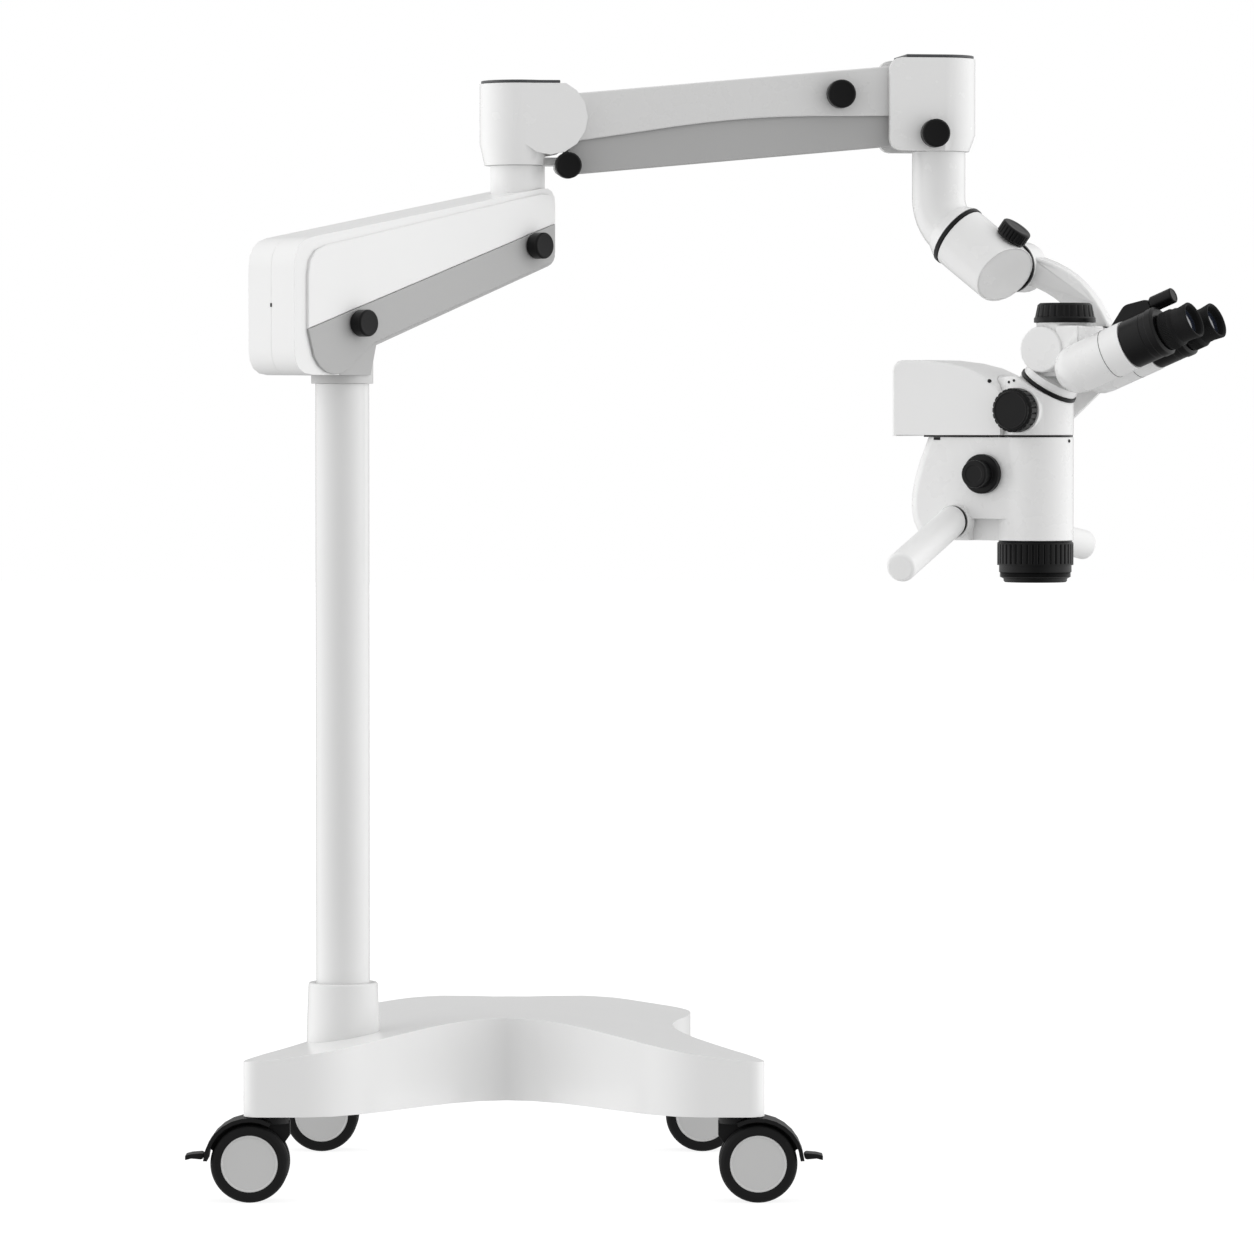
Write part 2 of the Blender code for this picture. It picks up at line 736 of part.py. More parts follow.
def make_wheel(corner, swivel):
    """Two tyres on one hub, each with a flat light disc set into its face."""
    half = WHEEL_WIDTH / 2 - HOOD_WALL / 2
    groove = WHEEL_GROOVE / 2
    shoulder = 0.006
    dish = 0.0015
    profile = [(0.0, half - dish), (HUB_DISC_RADIUS, half - dish), (HUB_DISC_RADIUS, half),
               (WHEEL_RADIUS - shoulder, half), (WHEEL_RADIUS, half - shoulder),
               (WHEEL_RADIUS, groove), (WHEEL_HUB_RADIUS, groove)]
    mirrored = [(radius, -height) for radius, height in reversed(profile)]
    turned("wheel_" + corner, profile + mirrored, swivel, "rubber",
           at=(CASTER_OFFSET, 0.0, WHEEL_RADIUS), turn=(math.pi / 2, 0.0, 0.0), steps=STEPS_MIDDLE)


def make_pedal(corner, swivel, hood_outer):
    """The foot brake, hinged on the lower end of the hood."""
    half = PEDAL_THICKNESS / 2
    root = half + 0.001
    reach = hood_outer + GAP + root
    pivot_x = CASTER_OFFSET + reach * math.cos(PEDAL_SLOPE)
    pivot_z = WHEEL_RADIUS + reach * math.sin(PEDAL_SLOPE)
    hinge = frame_at(corner + "_pedal_hinge", (pivot_x, 0.0, pivot_z), parent=swivel)
    outline = arc((0.0, 0.0), root, 90, 270, 6)
    outline += [(PEDAL_LENGTH * 0.6, -half), (PEDAL_LENGTH, -half - 0.002),
                (PEDAL_LENGTH, half - 0.002), (PEDAL_LENGTH * 0.6, half)]
    prism("brake_pedal_" + corner, outline, -PEDAL_WIDTH / 2, PEDAL_WIDTH / 2, hinge,
          "black_plastic", edge=0.001)


# Column

def make_column():
    foot = frame_at("column", (COLUMN_X, COLUMN_Y, 0.0), parent=STAND)
    bore = COLUMN_RADIUS + GAP
    seat = COLUMN_SEAT + GAP
    rim = 0.003
    sleeve = [(bore, SLEEVE_TOP), (SLEEVE_TOP_RADIUS - rim, SLEEVE_TOP),
              (SLEEVE_TOP_RADIUS, SLEEVE_TOP - rim), (SLEEVE_FOOT_RADIUS, COLUMN_SEAT + 0.04),
              (SLEEVE_FOOT_RADIUS, seat), (bore, seat)]
    turned("column_sleeve", sleeve, foot, "white_paint", closed=True)
    inner = COLUMN_RADIUS - COLUMN_WALL
    wall = [(inner, COLUMN_TOP), (COLUMN_RADIUS, COLUMN_TOP), (COLUMN_RADIUS, seat), (inner, seat)]
    turned("column_tube", wall, foot, "white_paint", closed=True)


make_base()
for corner_name, side_sign, depth_sign in (("near_left", -1, -1), ("near_right", 1, -1),
                                           ("far_left", -1, 1), ("far_right", 1, 1)):
    make_caster(corner_name, side_sign, depth_sign, depth_sign < 0)
make_column()


# Lower arm: a cast frame between two covers, free to turn on the column

LOWER = frame_at("lower_arm", (COLUMN_X, COLUMN_Y, COLUMN_TOP), (0.0, 0.0, LOWER_YAW), STAND)
ARM_FRONT = LOWER_LENGTH + ARM_NOSE
PANEL_FRONT = ARM_FRONT - PANEL_INSET
POST_TOP = ARM_NOSE_HIGH_Z + POST_SHOWING


def split_height(along):
    """Height of the line between the white panel and the grey one."""
    return SPLIT_START_Z + (along - PANEL_REAR) * SPLIT_SLOPE


def arm_profile():
    """Side view of the covers, counter-clockwise from the foot."""
    return eased([(ARM_REAR, ARM_FOOT_Z, ARM_CORNER), (ARM_FOOT_FRONT, ARM_FOOT_Z, 0.0),
                  (ARM_RISE_X, ARM_RISE_Z, 0.0), (ARM_FRONT, ARM_NOSE_LOW_Z, ARM_NOSE_LOW_CORNER),
                  (ARM_FRONT, ARM_NOSE_HIGH_Z, ARM_NOSE_HIGH_CORNER),
                  (ARM_REAR, ARM_REAR_TOP_Z, ARM_CORNER)], steps=4)


def upper_panel():
    """The raised white panel, which follows the covers' outline a little inside it."""
    return eased([(PANEL_REAR, split_height(PANEL_REAR) + GAP, 0.0),
                  (PANEL_FRONT, split_height(PANEL_FRONT) + GAP, 0.0),
                  (PANEL_FRONT, PANEL_NOSE_HIGH_Z, ARM_NOSE_HIGH_CORNER),
                  (PANEL_REAR, PANEL_REAR_TOP_Z, ARM_CORNER)])


def lower_panel():
    """The grey panel, with a round lobe over the column's head."""
    lobe = arc((PANEL_REAR + PANEL_LOBE_OUT, PANEL_RISE_Z), PANEL_LOBE_RADIUS, 188, 325, 7)
    return eased([(x, z, 0.0) for x, z in lobe]
                 + [(PANEL_RISE_X, PANEL_RISE_Z, 0.0),
                    (PANEL_FRONT, PANEL_NOSE_LOW_Z, PANEL_NOSE_LOW_CORNER),
                    (PANEL_FRONT, split_height(PANEL_FRONT) - GAP, 0.0),
                    (PANEL_REAR, split_height(PANEL_REAR) - GAP, 0.0)])


def upright(name, radius, low, high, frame, finish, x=0.0, steps=STEPS_LARGE):
    """A round bar that stands between two heights."""
    return cylinder(name, radius, high - low, frame, finish, at=(x, 0.0, (high + low) / 2),
                    steps=steps)


def web_profile(extra):
    """The frame's web between its collar and its post."""
    return [(0.0, WEB_REAR_LOW_Z - extra), (WEB_BEND_X, WEB_BEND_Z - extra),
            (LOWER_LENGTH, WEB_FRONT_LOW_Z - extra), (LOWER_LENGTH, WEB_FRONT_HIGH_Z + extra),
            (0.0, WEB_REAR_HIGH_Z + extra)]


def frame_cavity(clearance):
    """The room inside the covers for the collar, the web and the post."""
    collar = upright("collar_room", COLLAR_RADIUS + clearance, -clearance,
                     COLLAR_TOP + clearance, LOWER, None)
    post = upright("post_room", POST_RADIUS + clearance, POST_BOTTOM - clearance, POST_TOP, LOWER,
                   None, x=LOWER_LENGTH)
    half = FRAME_HALF_WIDTH + clearance
    web = prism("web_room", web_profile(clearance), -half, half, LOWER, None)
    return collar, post, web


def make_arm_frame():
    frame = upright("lower_arm_frame", COLLAR_RADIUS, GAP, COLLAR_TOP, LOWER, "light_grey")
    web = prism("frame_web", web_profile(0.0), -FRAME_HALF_WIDTH, FRAME_HALF_WIDTH, LOWER, None)
    post = upright("frame_post", POST_RADIUS, POST_BOTTOM, POST_TOP, LOWER, None, x=LOWER_LENGTH)
    down = upright("column_spindle", COLUMN_RADIUS - COLUMN_WALL - GAP,
                   -COLUMN_SPINDLE, SPINDLE_ROOT, LOWER, None)
    up = upright("shoulder_spindle", SHOULDER_SPINDLE_RADIUS, POST_TOP - SPINDLE_ROOT,
                 POST_TOP + SHOULDER_SPINDLE, LOWER, None, x=LOWER_LENGTH)
    add_to(frame, web, post, down, up)


def make_arm_covers():
    """Two clam-shell halves that meet at the middle, each with a raised white panel."""
    skin = LOWER_HALF_WIDTH
    face = skin + LOWER_PANEL
    for side, sign in (("near", -1), ("far", 1)):
        low, high = sorted((sign * GAP / 2, sign * skin))
        shell = prism("arm_cover_" + side, arm_profile(), low, high, LOWER, "white_paint")
        low, high = sorted((sign * (skin - LOWER_PANEL), sign * face))
        panel = prism("upper_panel_" + side, upper_panel(), low, high, LOWER, None,
                      edge=PANEL_EDGE, segments=1)
        add_to(shell, panel)
        cut_from(shell, *frame_cavity(COVER_CLEARANCE))
        low, high = sorted((sign * (skin + GAP), sign * face))
        prism("arm_trim_" + side, lower_panel(), low, high, LOWER, "grey_plastic")


def make_knob(name, radius, length, frame, at):
    """A plain knob whose back sits at a point and whose face looks to the near side."""
    profile = [(0.0, length), (radius - KNOB_EDGE, length), (radius, length - KNOB_EDGE),
               (radius, 0.0), (0.0, 0.0)]
    turned(name, profile, frame, "black_plastic", at=at, turn=(math.pi / 2, 0.0, 0.0),
           steps=STEPS_MIDDLE)


make_arm_frame()
make_arm_covers()
KNOB_SEAT = -(LOWER_HALF_WIDTH + LOWER_PANEL + GAP)
make_knob("column_brake_knob", BRAKE_KNOB_RADIUS, BRAKE_KNOB_LENGTH, LOWER,
          (COLUMN_BRAKE_X, KNOB_SEAT, COLUMN_BRAKE_Z))
make_knob("shoulder_brake_knob", BRAKE_KNOB_RADIUS, BRAKE_KNOB_LENGTH, LOWER,
          (SHOULDER_BRAKE_X, KNOB_SEAT, SHOULDER_BRAKE_Z))


# Shoulder: a turned housing that turns on the post and holds the rear pivots

POST_X = COLUMN_X + LOWER_LENGTH * math.cos(LOWER_YAW)
POST_Y = COLUMN_Y + LOWER_LENGTH * math.sin(LOWER_YAW)
SHOULDER_Z = COLUMN_TOP + POST_TOP
SHOULDER_TOP = UPPER_PIVOT_Z + SHOULDER_OVER_PIVOT
SHOULDER = frame_at("shoulder", (POST_X, POST_Y, SHOULDER_Z), (0.0, 0.0, UPPER_YAW), STAND)


def cross_pin(name, radius, x, z, half, frame, finish, steps=STEPS_SMALL):
    """A round bar across a frame, even on both sides."""
    return cylinder(name, radius, 2 * half, frame, finish, at=(x, 0.0, z), along="Y", steps=steps)


def make_shoulder():
    foot = GAP
    profile = [(0.0, SHOULDER_TOP), (SHOULDER_RADIUS, SHOULDER_TOP),
               (SHOULDER_RADIUS, foot + SHOULDER_TAPER), (SHOULDER_FOOT_RADIUS, foot), (0.0, foot)]
    housing = turned("shoulder_housing", profile, SHOULDER, "white_paint")
    cheeks = cross_pin("cheeks", CHEEK_RADIUS, UPPER_PIVOT_OUT, UPPER_PIVOT_Z, CHEEK_RADIUS,
                       SHOULDER, None)
    add_to(housing, cheeks)
    floor = SHOULDER_SPINDLE + CLEVIS_FLOOR
    slot = block("clevis_slot", (CLEVIS_BACK, -CLEVIS_HALF, floor),
                 (BEYOND, CLEVIS_HALF, SHOULDER_TOP + BEYOND), SHOULDER, None)
    mouth = block("clevis_mouth", (CLEVIS_MOUTH_BACK, -CLEVIS_HALF, foot - BEYOND),
                  (BEYOND, CLEVIS_HALF, floor + GAP), SHOULDER, None)
    above = block("above_shoulder", (-BEYOND, -BEYOND, SHOULDER_TOP),
                  (BEYOND, BEYOND, SHOULDER_TOP + BEYOND), SHOULDER, None)
    cut_from(housing, slot, mouth, above)
    lug_half = LOWER_LINK_HALF - LINK_WALL - LUG_CLEARANCE
    lug_low = foot + GAP
    lug = block("lower_lug", (LUG_BACK, -lug_half, lug_low),
                (LOWER_PIVOT_OUT, lug_half, lug_low + LUG_HEIGHT), SHOULDER, None)
    eye = cross_pin("lower_eye", LUG_EYE_RADIUS, LOWER_PIVOT_OUT, LOWER_PIVOT_Z, lug_half,
                    SHOULDER, None)
    add_to(housing, lug, eye)
    spindle = upright("spindle_bore", SHOULDER_SPINDLE_RADIUS + GAP, -SHOULDER_SPINDLE,
                      SHOULDER_SPINDLE + 2 * GAP, SHOULDER, None)
    upper = cross_pin("upper_pin_bore", PIN_RADIUS + GAP, UPPER_PIVOT_OUT, UPPER_PIVOT_Z,
                      PIN_SEAT + GAP, SHOULDER, None)
    lower = cross_pin("lower_pin_bore", LOWER_PIN_RADIUS + GAP, LOWER_PIVOT_OUT, LOWER_PIVOT_Z,
                      CHEEK_RADIUS, SHOULDER, None)
    cut_from(housing, spindle, upper, lower)
    cross_pin("shoulder_upper_pin", PIN_RADIUS, UPPER_PIVOT_OUT, UPPER_PIVOT_Z, PIN_SEAT,
              SHOULDER, "steel")
    reach = LOWER_LINK_HALF + PIN_PROUD
    cross_pin("shoulder_lower_pin", LOWER_PIN_RADIUS, LOWER_PIVOT_OUT, LOWER_PIVOT_Z, reach,
              SHOULDER, "steel")
    make_knob("lift_lock_knob", BRAKE_KNOB_RADIUS, ARM_KNOB_LENGTH, SHOULDER,
              (LOWER_PIVOT_OUT, -reach - GAP, LOWER_PIVOT_Z))
    lid = arc((0.0, 0.0), SHOULDER_RADIUS - CAP_INSET, 60, 300, 16)
    lid += [(SHOULDER_CAP_FRONT, -SHOULDER_CAP_HALF), (SHOULDER_CAP_FRONT, SHOULDER_CAP_HALF)]
    prism("shoulder_cap", lid, SHOULDER_TOP + GAP, SHOULDER_TOP + GAP + CAP_THICKNESS,
          SHOULDER, "black_plastic", plane="XY")


make_shoulder()


# Upper arm: a parallelogram of two channels with a gas spring inside

UPPER = frame_at("upper_link_pivot", (UPPER_PIVOT_OUT, 0.0, UPPER_PIVOT_Z),
                 (0.0, -LINK_REST, 0.0), SHOULDER)
LOWER_LINK = frame_at("lower_link_pivot", (LOWER_PIVOT_OUT, 0.0, LOWER_PIVOT_Z),
                      (0.0, -LINK_REST, 0.0), SHOULDER)


def upper_link_profile():
    """A channel with round noses at its pivots and an arched lower edge."""
    start = UPPER_LINK_ARCH_REAR
    end = LINK_LENGTH - UPPER_LINK_ARCH_FRONT
    flatness = 0.6
    points = arc((0.0, 0.0), UPPER_LINK_TOP, 90, 262, 10)
    count = 12
    for i in range(count + 1):
        share = i / count
        chord = (UPPER_LINK_REAR_DEPTH
                 + (UPPER_LINK_FRONT_DEPTH - UPPER_LINK_REAR_DEPTH) * share)
        height = chord - (chord - UPPER_LINK_ARCH_DEPTH) * bow(2 * share - 1) ** flatness
        points.append((start + (end - start) * share, -height))
    points += arc((LINK_LENGTH, 0.0), UPPER_LINK_TOP, 278, 450, 10)
    return points


def lower_link_profile():
    """A narrower channel whose walls rise inside the upper one."""
    front = LINK_LENGTH - LOWER_LINK_INSET
    shoulder = LOWER_LINK_RISE - LOWER_LINK_CORNER
    return (arc((0.0, 0.0), LOWER_LINK_FOOT, 110, 270, 6)
            + arc((LINK_LENGTH, 0.0), LOWER_LINK_FOOT, 270, 430, 6)
            + [(front, shoulder), (front - LOWER_LINK_CORNER, LOWER_LINK_RISE),
               (LOWER_LINK_INSET + LOWER_LINK_CORNER, LOWER_LINK_RISE),
               (LOWER_LINK_INSET, shoulder)])


def make_links():
    upper = prism("upper_link", upper_link_profile(), -UPPER_LINK_HALF, UPPER_LINK_HALF, UPPER,
                  "white_paint", edge=UPPER_LINK_EDGE)
    inner = UPPER_LINK_HALF - LINK_WALL
    room = block("upper_link_room", (-BEYOND, -inner, -BEYOND),
                 (LINK_LENGTH + BEYOND, inner, UPPER_LINK_TOP - LINK_WALL), UPPER, None)
    rear = cross_pin("upper_rear_hole", PIN_RADIUS + GAP, 0.0, 0.0, PIN_SEAT, UPPER, None)
    front = cross_pin("upper_front_hole", PIN_RADIUS + GAP, LINK_LENGTH, 0.0, PIN_SEAT, UPPER,
                      None)
    cut_from(upper, room, rear, front)
    lower = prism("lower_link", lower_link_profile(), -LOWER_LINK_HALF, LOWER_LINK_HALF,
                  LOWER_LINK, "grey_plastic")
    inner = LOWER_LINK_HALF - LINK_WALL
    floor = -LOWER_LINK_FOOT + LINK_WALL
    room = block("lower_link_room", (-BEYOND, -inner, floor), (LINK_LENGTH + BEYOND, inner, BEYOND),
                 LOWER_LINK, None)
    rear_end = block("lower_rear_end", (-BEYOND, -inner, -BEYOND),
                     (LOWER_LINK_MOUTH, inner, floor + GAP), LOWER_LINK, None)
    front_end = block("lower_front_end", (LINK_LENGTH - LOWER_LINK_MOUTH, -inner, -BEYOND),
                      (LINK_LENGTH + BEYOND, inner, floor + GAP), LOWER_LINK, None)
    rear = cross_pin("lower_rear_hole", LOWER_PIN_RADIUS + GAP, 0.0, 0.0, PIN_SEAT, LOWER_LINK,
                     None)
    front = cross_pin("lower_front_hole", LOWER_PIN_RADIUS + GAP, LINK_LENGTH, 0.0, PIN_SEAT,
                      LOWER_LINK, None)
    cut_from(lower, room, rear_end, front_end, rear, front)


def make_gas_spring():
    """A cylinder and its rod along the upper channel, each on a cross pin in its walls."""
    reach = UPPER_LINK_HALF - LINK_WALL - GAP
    height = SPRING_HEIGHT
    front = LINK_LENGTH - SPRING_FRONT_BACK
    split = front - SPRING_ROD_SHOWING
    body = cylinder("gas_spring_cylinder", SPRING_RADIUS, split - SPRING_REAR, UPPER,
                    "black_metal", at=((SPRING_REAR + split) / 2, 0.0, height), along="X",
                    steps=STEPS_SMALL)
    add_to(body, cross_pin("spring_rear_pin", SPRING_PIN_RADIUS, SPRING_REAR, height, reach, UPPER,
                           None))
    bore = cylinder("spring_bore", SPRING_ROD_RADIUS + GAP, SPRING_BORE_DEPTH, UPPER, None,
                    at=(split - SPRING_BORE_DEPTH / 2 + GAP, 0.0, height), along="X",
                    steps=STEPS_SMALL)
    cut_from(body, bore)
    start = split - SPRING_BORE_DEPTH + 2 * GAP
    rod = cylinder("gas_spring_rod", SPRING_ROD_RADIUS, front - start, UPPER, "steel",
                   at=((start + front) / 2, 0.0, height), along="X", steps=STEPS_SMALL)
    add_to(rod, cross_pin("spring_front_pin", SPRING_PIN_RADIUS, front, height, reach, UPPER,
                          None))


make_links()
make_gas_spring()
make_knob("spring_adjust_knob", ARM_KNOB_RADIUS, ARM_KNOB_LENGTH, UPPER,
          (LINK_LENGTH - ADJUST_KNOB_BACK, -UPPER_LINK_HALF - GAP, -ADJUST_KNOB_DROP))


# Front housing: stays level on the front pivots and carries the elbow

LINK_RUN = LINK_LENGTH * math.cos(LINK_REST)
LINK_CLIMB = LINK_LENGTH * math.sin(LINK_REST)
ARM_REACH = UPPER_PIVOT_OUT + LINK_RUN + FRONT_PIVOT_BACK
FRONT_X = POST_X + ARM_REACH * math.cos(UPPER_YAW)
FRONT_Y = POST_Y + ARM_REACH * math.sin(UPPER_YAW)
FRONT = frame_at("front", (FRONT_X, FRONT_Y, SHOULDER_Z), (0.0, 0.0, UPPER_YAW), STAND)
FRONT_UPPER = (-FRONT_PIVOT_BACK, UPPER_PIVOT_Z + LINK_CLIMB)
FRONT_LOWER = (LOWER_PIVOT_OUT + LINK_RUN - ARM_REACH, LOWER_PIVOT_Z + LINK_CLIMB)
FRONT_BOTTOM = FRONT_LOWER[1] - FRONT_UNDER_PIVOT
FRONT_TOP = FRONT_UPPER[1] + FRONT_OVER_PIVOT


def make_front():
    back = -FRONT_BACK + FRONT_CORNER
    side = [(0.0, FRONT_BOTTOM), (0.0, FRONT_TOP)]
    side += arc((back, FRONT_TOP - FRONT_CORNER), FRONT_CORNER, 90, 180, 4)
    side += arc((back, FRONT_BOTTOM + FRONT_CORNER), FRONT_CORNER, 180, 270, 4)
    housing = prism("front_housing", side, -FRONT_RADIUS, FRONT_RADIUS, FRONT, "white_paint")
    nose = turned("front_nose", [(0.0, FRONT_TOP), (FRONT_RADIUS, FRONT_TOP),
                                 (FRONT_RADIUS, FRONT_BOTTOM + FRONT_TAPER_HEIGHT),
                                 (FRONT_RADIUS - FRONT_TAPER, FRONT_BOTTOM), (0.0, FRONT_BOTTOM)],
                  FRONT, None)
    add_to(housing, nose)
    slot_end = FRONT_LOWER[0] + LOWER_LINK_FOOT + CLEVIS_FLOOR
    slot = block("front_slot", (-BEYOND, -CLEVIS_HALF, FRONT_BOTTOM - BEYOND),
                 (slot_end, CLEVIS_HALF, FRONT_TOP + BEYOND), FRONT, None)
    bore = upright("front_spindle_bore", FRONT_SPINDLE_RADIUS + GAP, FRONT_BOTTOM - FRONT_SPINDLE,
                   FRONT_BOTTOM + FRONT_SPINDLE + GAP, FRONT, None, steps=STEPS_LARGE)
    upper = cross_pin("front_upper_bore", PIN_RADIUS + GAP, FRONT_UPPER[0], FRONT_UPPER[1],
                      PIN_SEAT + GAP, FRONT, None)
    lower = cross_pin("front_lower_bore", LOWER_PIN_RADIUS + GAP, FRONT_LOWER[0], FRONT_LOWER[1],
                      PIN_SEAT + GAP, FRONT, None)
    cut_from(housing, slot, bore, upper, lower)
    cross_pin("front_upper_pin", PIN_RADIUS, FRONT_UPPER[0], FRONT_UPPER[1], PIN_SEAT, FRONT,
              "steel")
    cross_pin("front_lower_pin", LOWER_PIN_RADIUS, FRONT_LOWER[0], FRONT_LOWER[1], PIN_SEAT,
              FRONT, "steel")
    radius = FRONT_RADIUS - CAP_INSET
    lid = arc((0.0, 0.0), radius, -90, 90, 12)
    lid += [(-FRONT_CAP_BACK, radius), (-FRONT_CAP_BACK, -radius)]
    prism("front_cap", lid, FRONT_TOP + GAP, FRONT_TOP + GAP + CAP_THICKNESS, FRONT,
          "black_plastic", plane="XY")
    make_knob("front_brake_knob", ARM_KNOB_RADIUS, ARM_KNOB_LENGTH, FRONT,
              (FRONT_BRAKE_X, -FRONT_RADIUS - GAP, FRONT_BOTTOM + FRONT_BRAKE_RISE))


make_front()


# Elbow: a bent tube that swivels under the front housing

ELBOW_Z = FRONT_BOTTOM - ELBOW_DROP
ELBOW = frame_at("elbow", (FRONT_X, FRONT_Y, SHOULDER_Z), (0.0, 0.0, HEAD_YAW), STAND)
ROLL = frame_at("roll_axis", (0.0, 0.0, ELBOW_Z), (0.0, ROLL_SLOPE, 0.0), ELBOW)


def elbow_route():
    """Down from the housing, round the bend and on along the roll axis, in the elbow's XZ."""
    turn = math.pi / 2 - ROLL_SLOPE
    run = ELBOW_BEND * math.tan(turn / 2)
    points = [(0.0, 0.0, FRONT_BOTTOM - GAP), (0.0, 0.0, ELBOW_Z + run)]
    count = 7
    for i in range(1, count + 1):
        angle = turn * i / count
        points.append((ELBOW_BEND * (1 - math.cos(angle)), 0.0,
                       ELBOW_Z + run - ELBOW_BEND * math.sin(angle)))
    end = RING_START - GAP
    points.append((end * math.cos(ROLL_SLOPE), 0.0, ELBOW_Z - end * math.sin(ROLL_SLOPE)))
    return points


def along_roll(name, radius, start, end, finish, top_radius=None, steps=STEPS_LARGE):
    """A round bar on the roll axis, from one distance to another."""
    return cylinder(name, radius, end - start, ROLL, finish, at=((start + end) / 2, 0.0, 0.0),
                    along="X", top_radius=top_radius, steps=steps)


def make_elbow():
    elbow = tube("elbow_tube", elbow_route(), ELBOW_RADIUS, ELBOW, "white_paint", sides=6)
    end = RING_START - GAP
    flare = along_roll("elbow_flare", ELBOW_RADIUS, end - ELBOW_FLARE, end, None,
                       top_radius=RING_RADIUS)
    up = upright("front_spindle", FRONT_SPINDLE_RADIUS, FRONT_BOTTOM - SPINDLE_ROOT,
                 FRONT_BOTTOM + FRONT_SPINDLE, ELBOW, None, steps=STEPS_SMALL)
    out = along_roll("roll_spindle", ROLL_SPINDLE_RADIUS, end - SPINDLE_ROOT, end + ROLL_SPINDLE,
                     None, steps=STEPS_MIDDLE)
    add_to(elbow, flare, up, out)


def make_roll_housing():
    """The inclined housing: oblique end, a boss for the yoke on its far side."""
    start = RING_START + RING_THICKNESS + GAP
    spread = ROLL_RADIUS * math.tan(ROLL_END_TURN)
    housing = along_roll("roll_housing", ROLL_RADIUS, start, ROLL_END + spread + SPINDLE_ROOT,
                         "white_paint")
    boss = cylinder("tilt_boss", TILT_BOSS_RADIUS, TILT_BOSS_FACE, ROLL, None,
                    at=(TILT_AT, TILT_BOSS_FACE / 2, 0.0), along="Y")
    add_to(housing, boss)
    face = frame_at("roll_end", (ROLL_END, 0.0, 0.0), (0.0, 0.0, -ROLL_END_TURN), ROLL)
    beyond = block("beyond_end", (0.0, -BEYOND, -BEYOND), (BEYOND, BEYOND, BEYOND), face, None)
    bore = along_roll("roll_bore", ROLL_SPINDLE_RADIUS + GAP, start - SPINDLE_ROOT,
                      RING_START + ROLL_SPINDLE + GAP, None, steps=STEPS_MIDDLE)
    tilt = cylinder("tilt_bore", TILT_SPINDLE_RADIUS + GAP, TILT_BORE_DEPTH, ROLL, None,
                    at=(TILT_AT, TILT_BOSS_FACE - TILT_BORE_DEPTH / 2 + GAP, 0.0), along="Y",
                    steps=STEPS_SMALL)
    cut_from(housing, beyond, bore, tilt)
    low = ROLL_RADIUS + GAP
    high = low + ROLL_KNOB_LENGTH
    profile = [(0.0, high), (ROLL_KNOB_RADIUS - KNOB_EDGE, high),
               (ROLL_KNOB_RADIUS, high - KNOB_EDGE), (ROLL_KNOB_RADIUS, low), (0.0, low)]
    turned("roll_lock_knob", profile, ROLL, "black_plastic", at=(TILT_AT - ROLL_KNOB_BACK, 0.0, 0.0),
           steps=STEPS_MIDDLE)


make_elbow()
make_roll_housing()


# Yoke: a curved arm from the tilt joint to the hub that holds the head

HEAD = frame_at("head", (HEAD_REACH, 0.0, ELBOW_Z - HEAD_DROP), parent=ELBOW)
TILT_X = -HEAD_REACH + TILT_AT * math.cos(ROLL_SLOPE)
TILT_Z = HEAD_DROP - TILT_AT * math.sin(ROLL_SLOPE)
YOKE_START = TILT_BOSS_FACE + TILT_RING_THICKNESS + 2 * GAP
HUB_START = CARRIER_NEAR_FACE + CARRIER_THICKNESS + HEAD_RING_THICKNESS + 2 * GAP


def across_head(name, radius, x, z, low, high, finish, steps=STEPS_LARGE, edge=0.0):
    """A bar across the head, from one Y to another."""
    return cylinder(name, radius, high - low, HEAD, finish, at=(x, (low + high) / 2, z),
                    along="Y", steps=steps, edge=edge)


def yoke_profile():
    """A band of even width along one smooth curve between the two hubs."""
    start, knee, end = (TILT_X, TILT_Z), (YOKE_KNEE_X, YOKE_KNEE_Z), (HUB_FORWARD, HUB_Z)
    outer = []
    inner = []
    count = 12
    half = YOKE_WIDTH / 2
    for i, (x, z) in enumerate(swept(start, knee, end, count)):
        t = i / count
        dx = (1 - t) * (knee[0] - start[0]) + t * (end[0] - knee[0])
        dz = (1 - t) * (knee[1] - start[1]) + t * (end[1] - knee[1])
        length = math.hypot(dx, dz)
        outer.append((x - dz / length * half, z + dx / length * half))
        inner.append((x + dz / length * half, z - dx / length * half))
    return inner + outer[::-1]


def lean_outwards(mesh, near_face):
    """Moves the arm's lower part away, past the far barrel."""
    build = bmesh.new()
    build.from_mesh(mesh)
    middle = (near_face + YOKE_FAR_FACE) / 2
    start = TILT_X + YOKE_LEAN_START
    end = HUB_FORWARD - YOKE_LEAN_END
    for vertex in build.verts:
        share = max(0.0, min(1.0, (vertex.co.x - start) / (end - start)))
        share = share * share * (3 - 2 * share)
        if vertex.co.y < middle:
            vertex.co.y += (HUB_START - near_face) * share
        else:
            vertex.co.y -= (YOKE_FAR_FACE - YOKE_UPPER_FAR_FACE) * (1 - share)
    build.to_mesh(mesh)
    build.free()


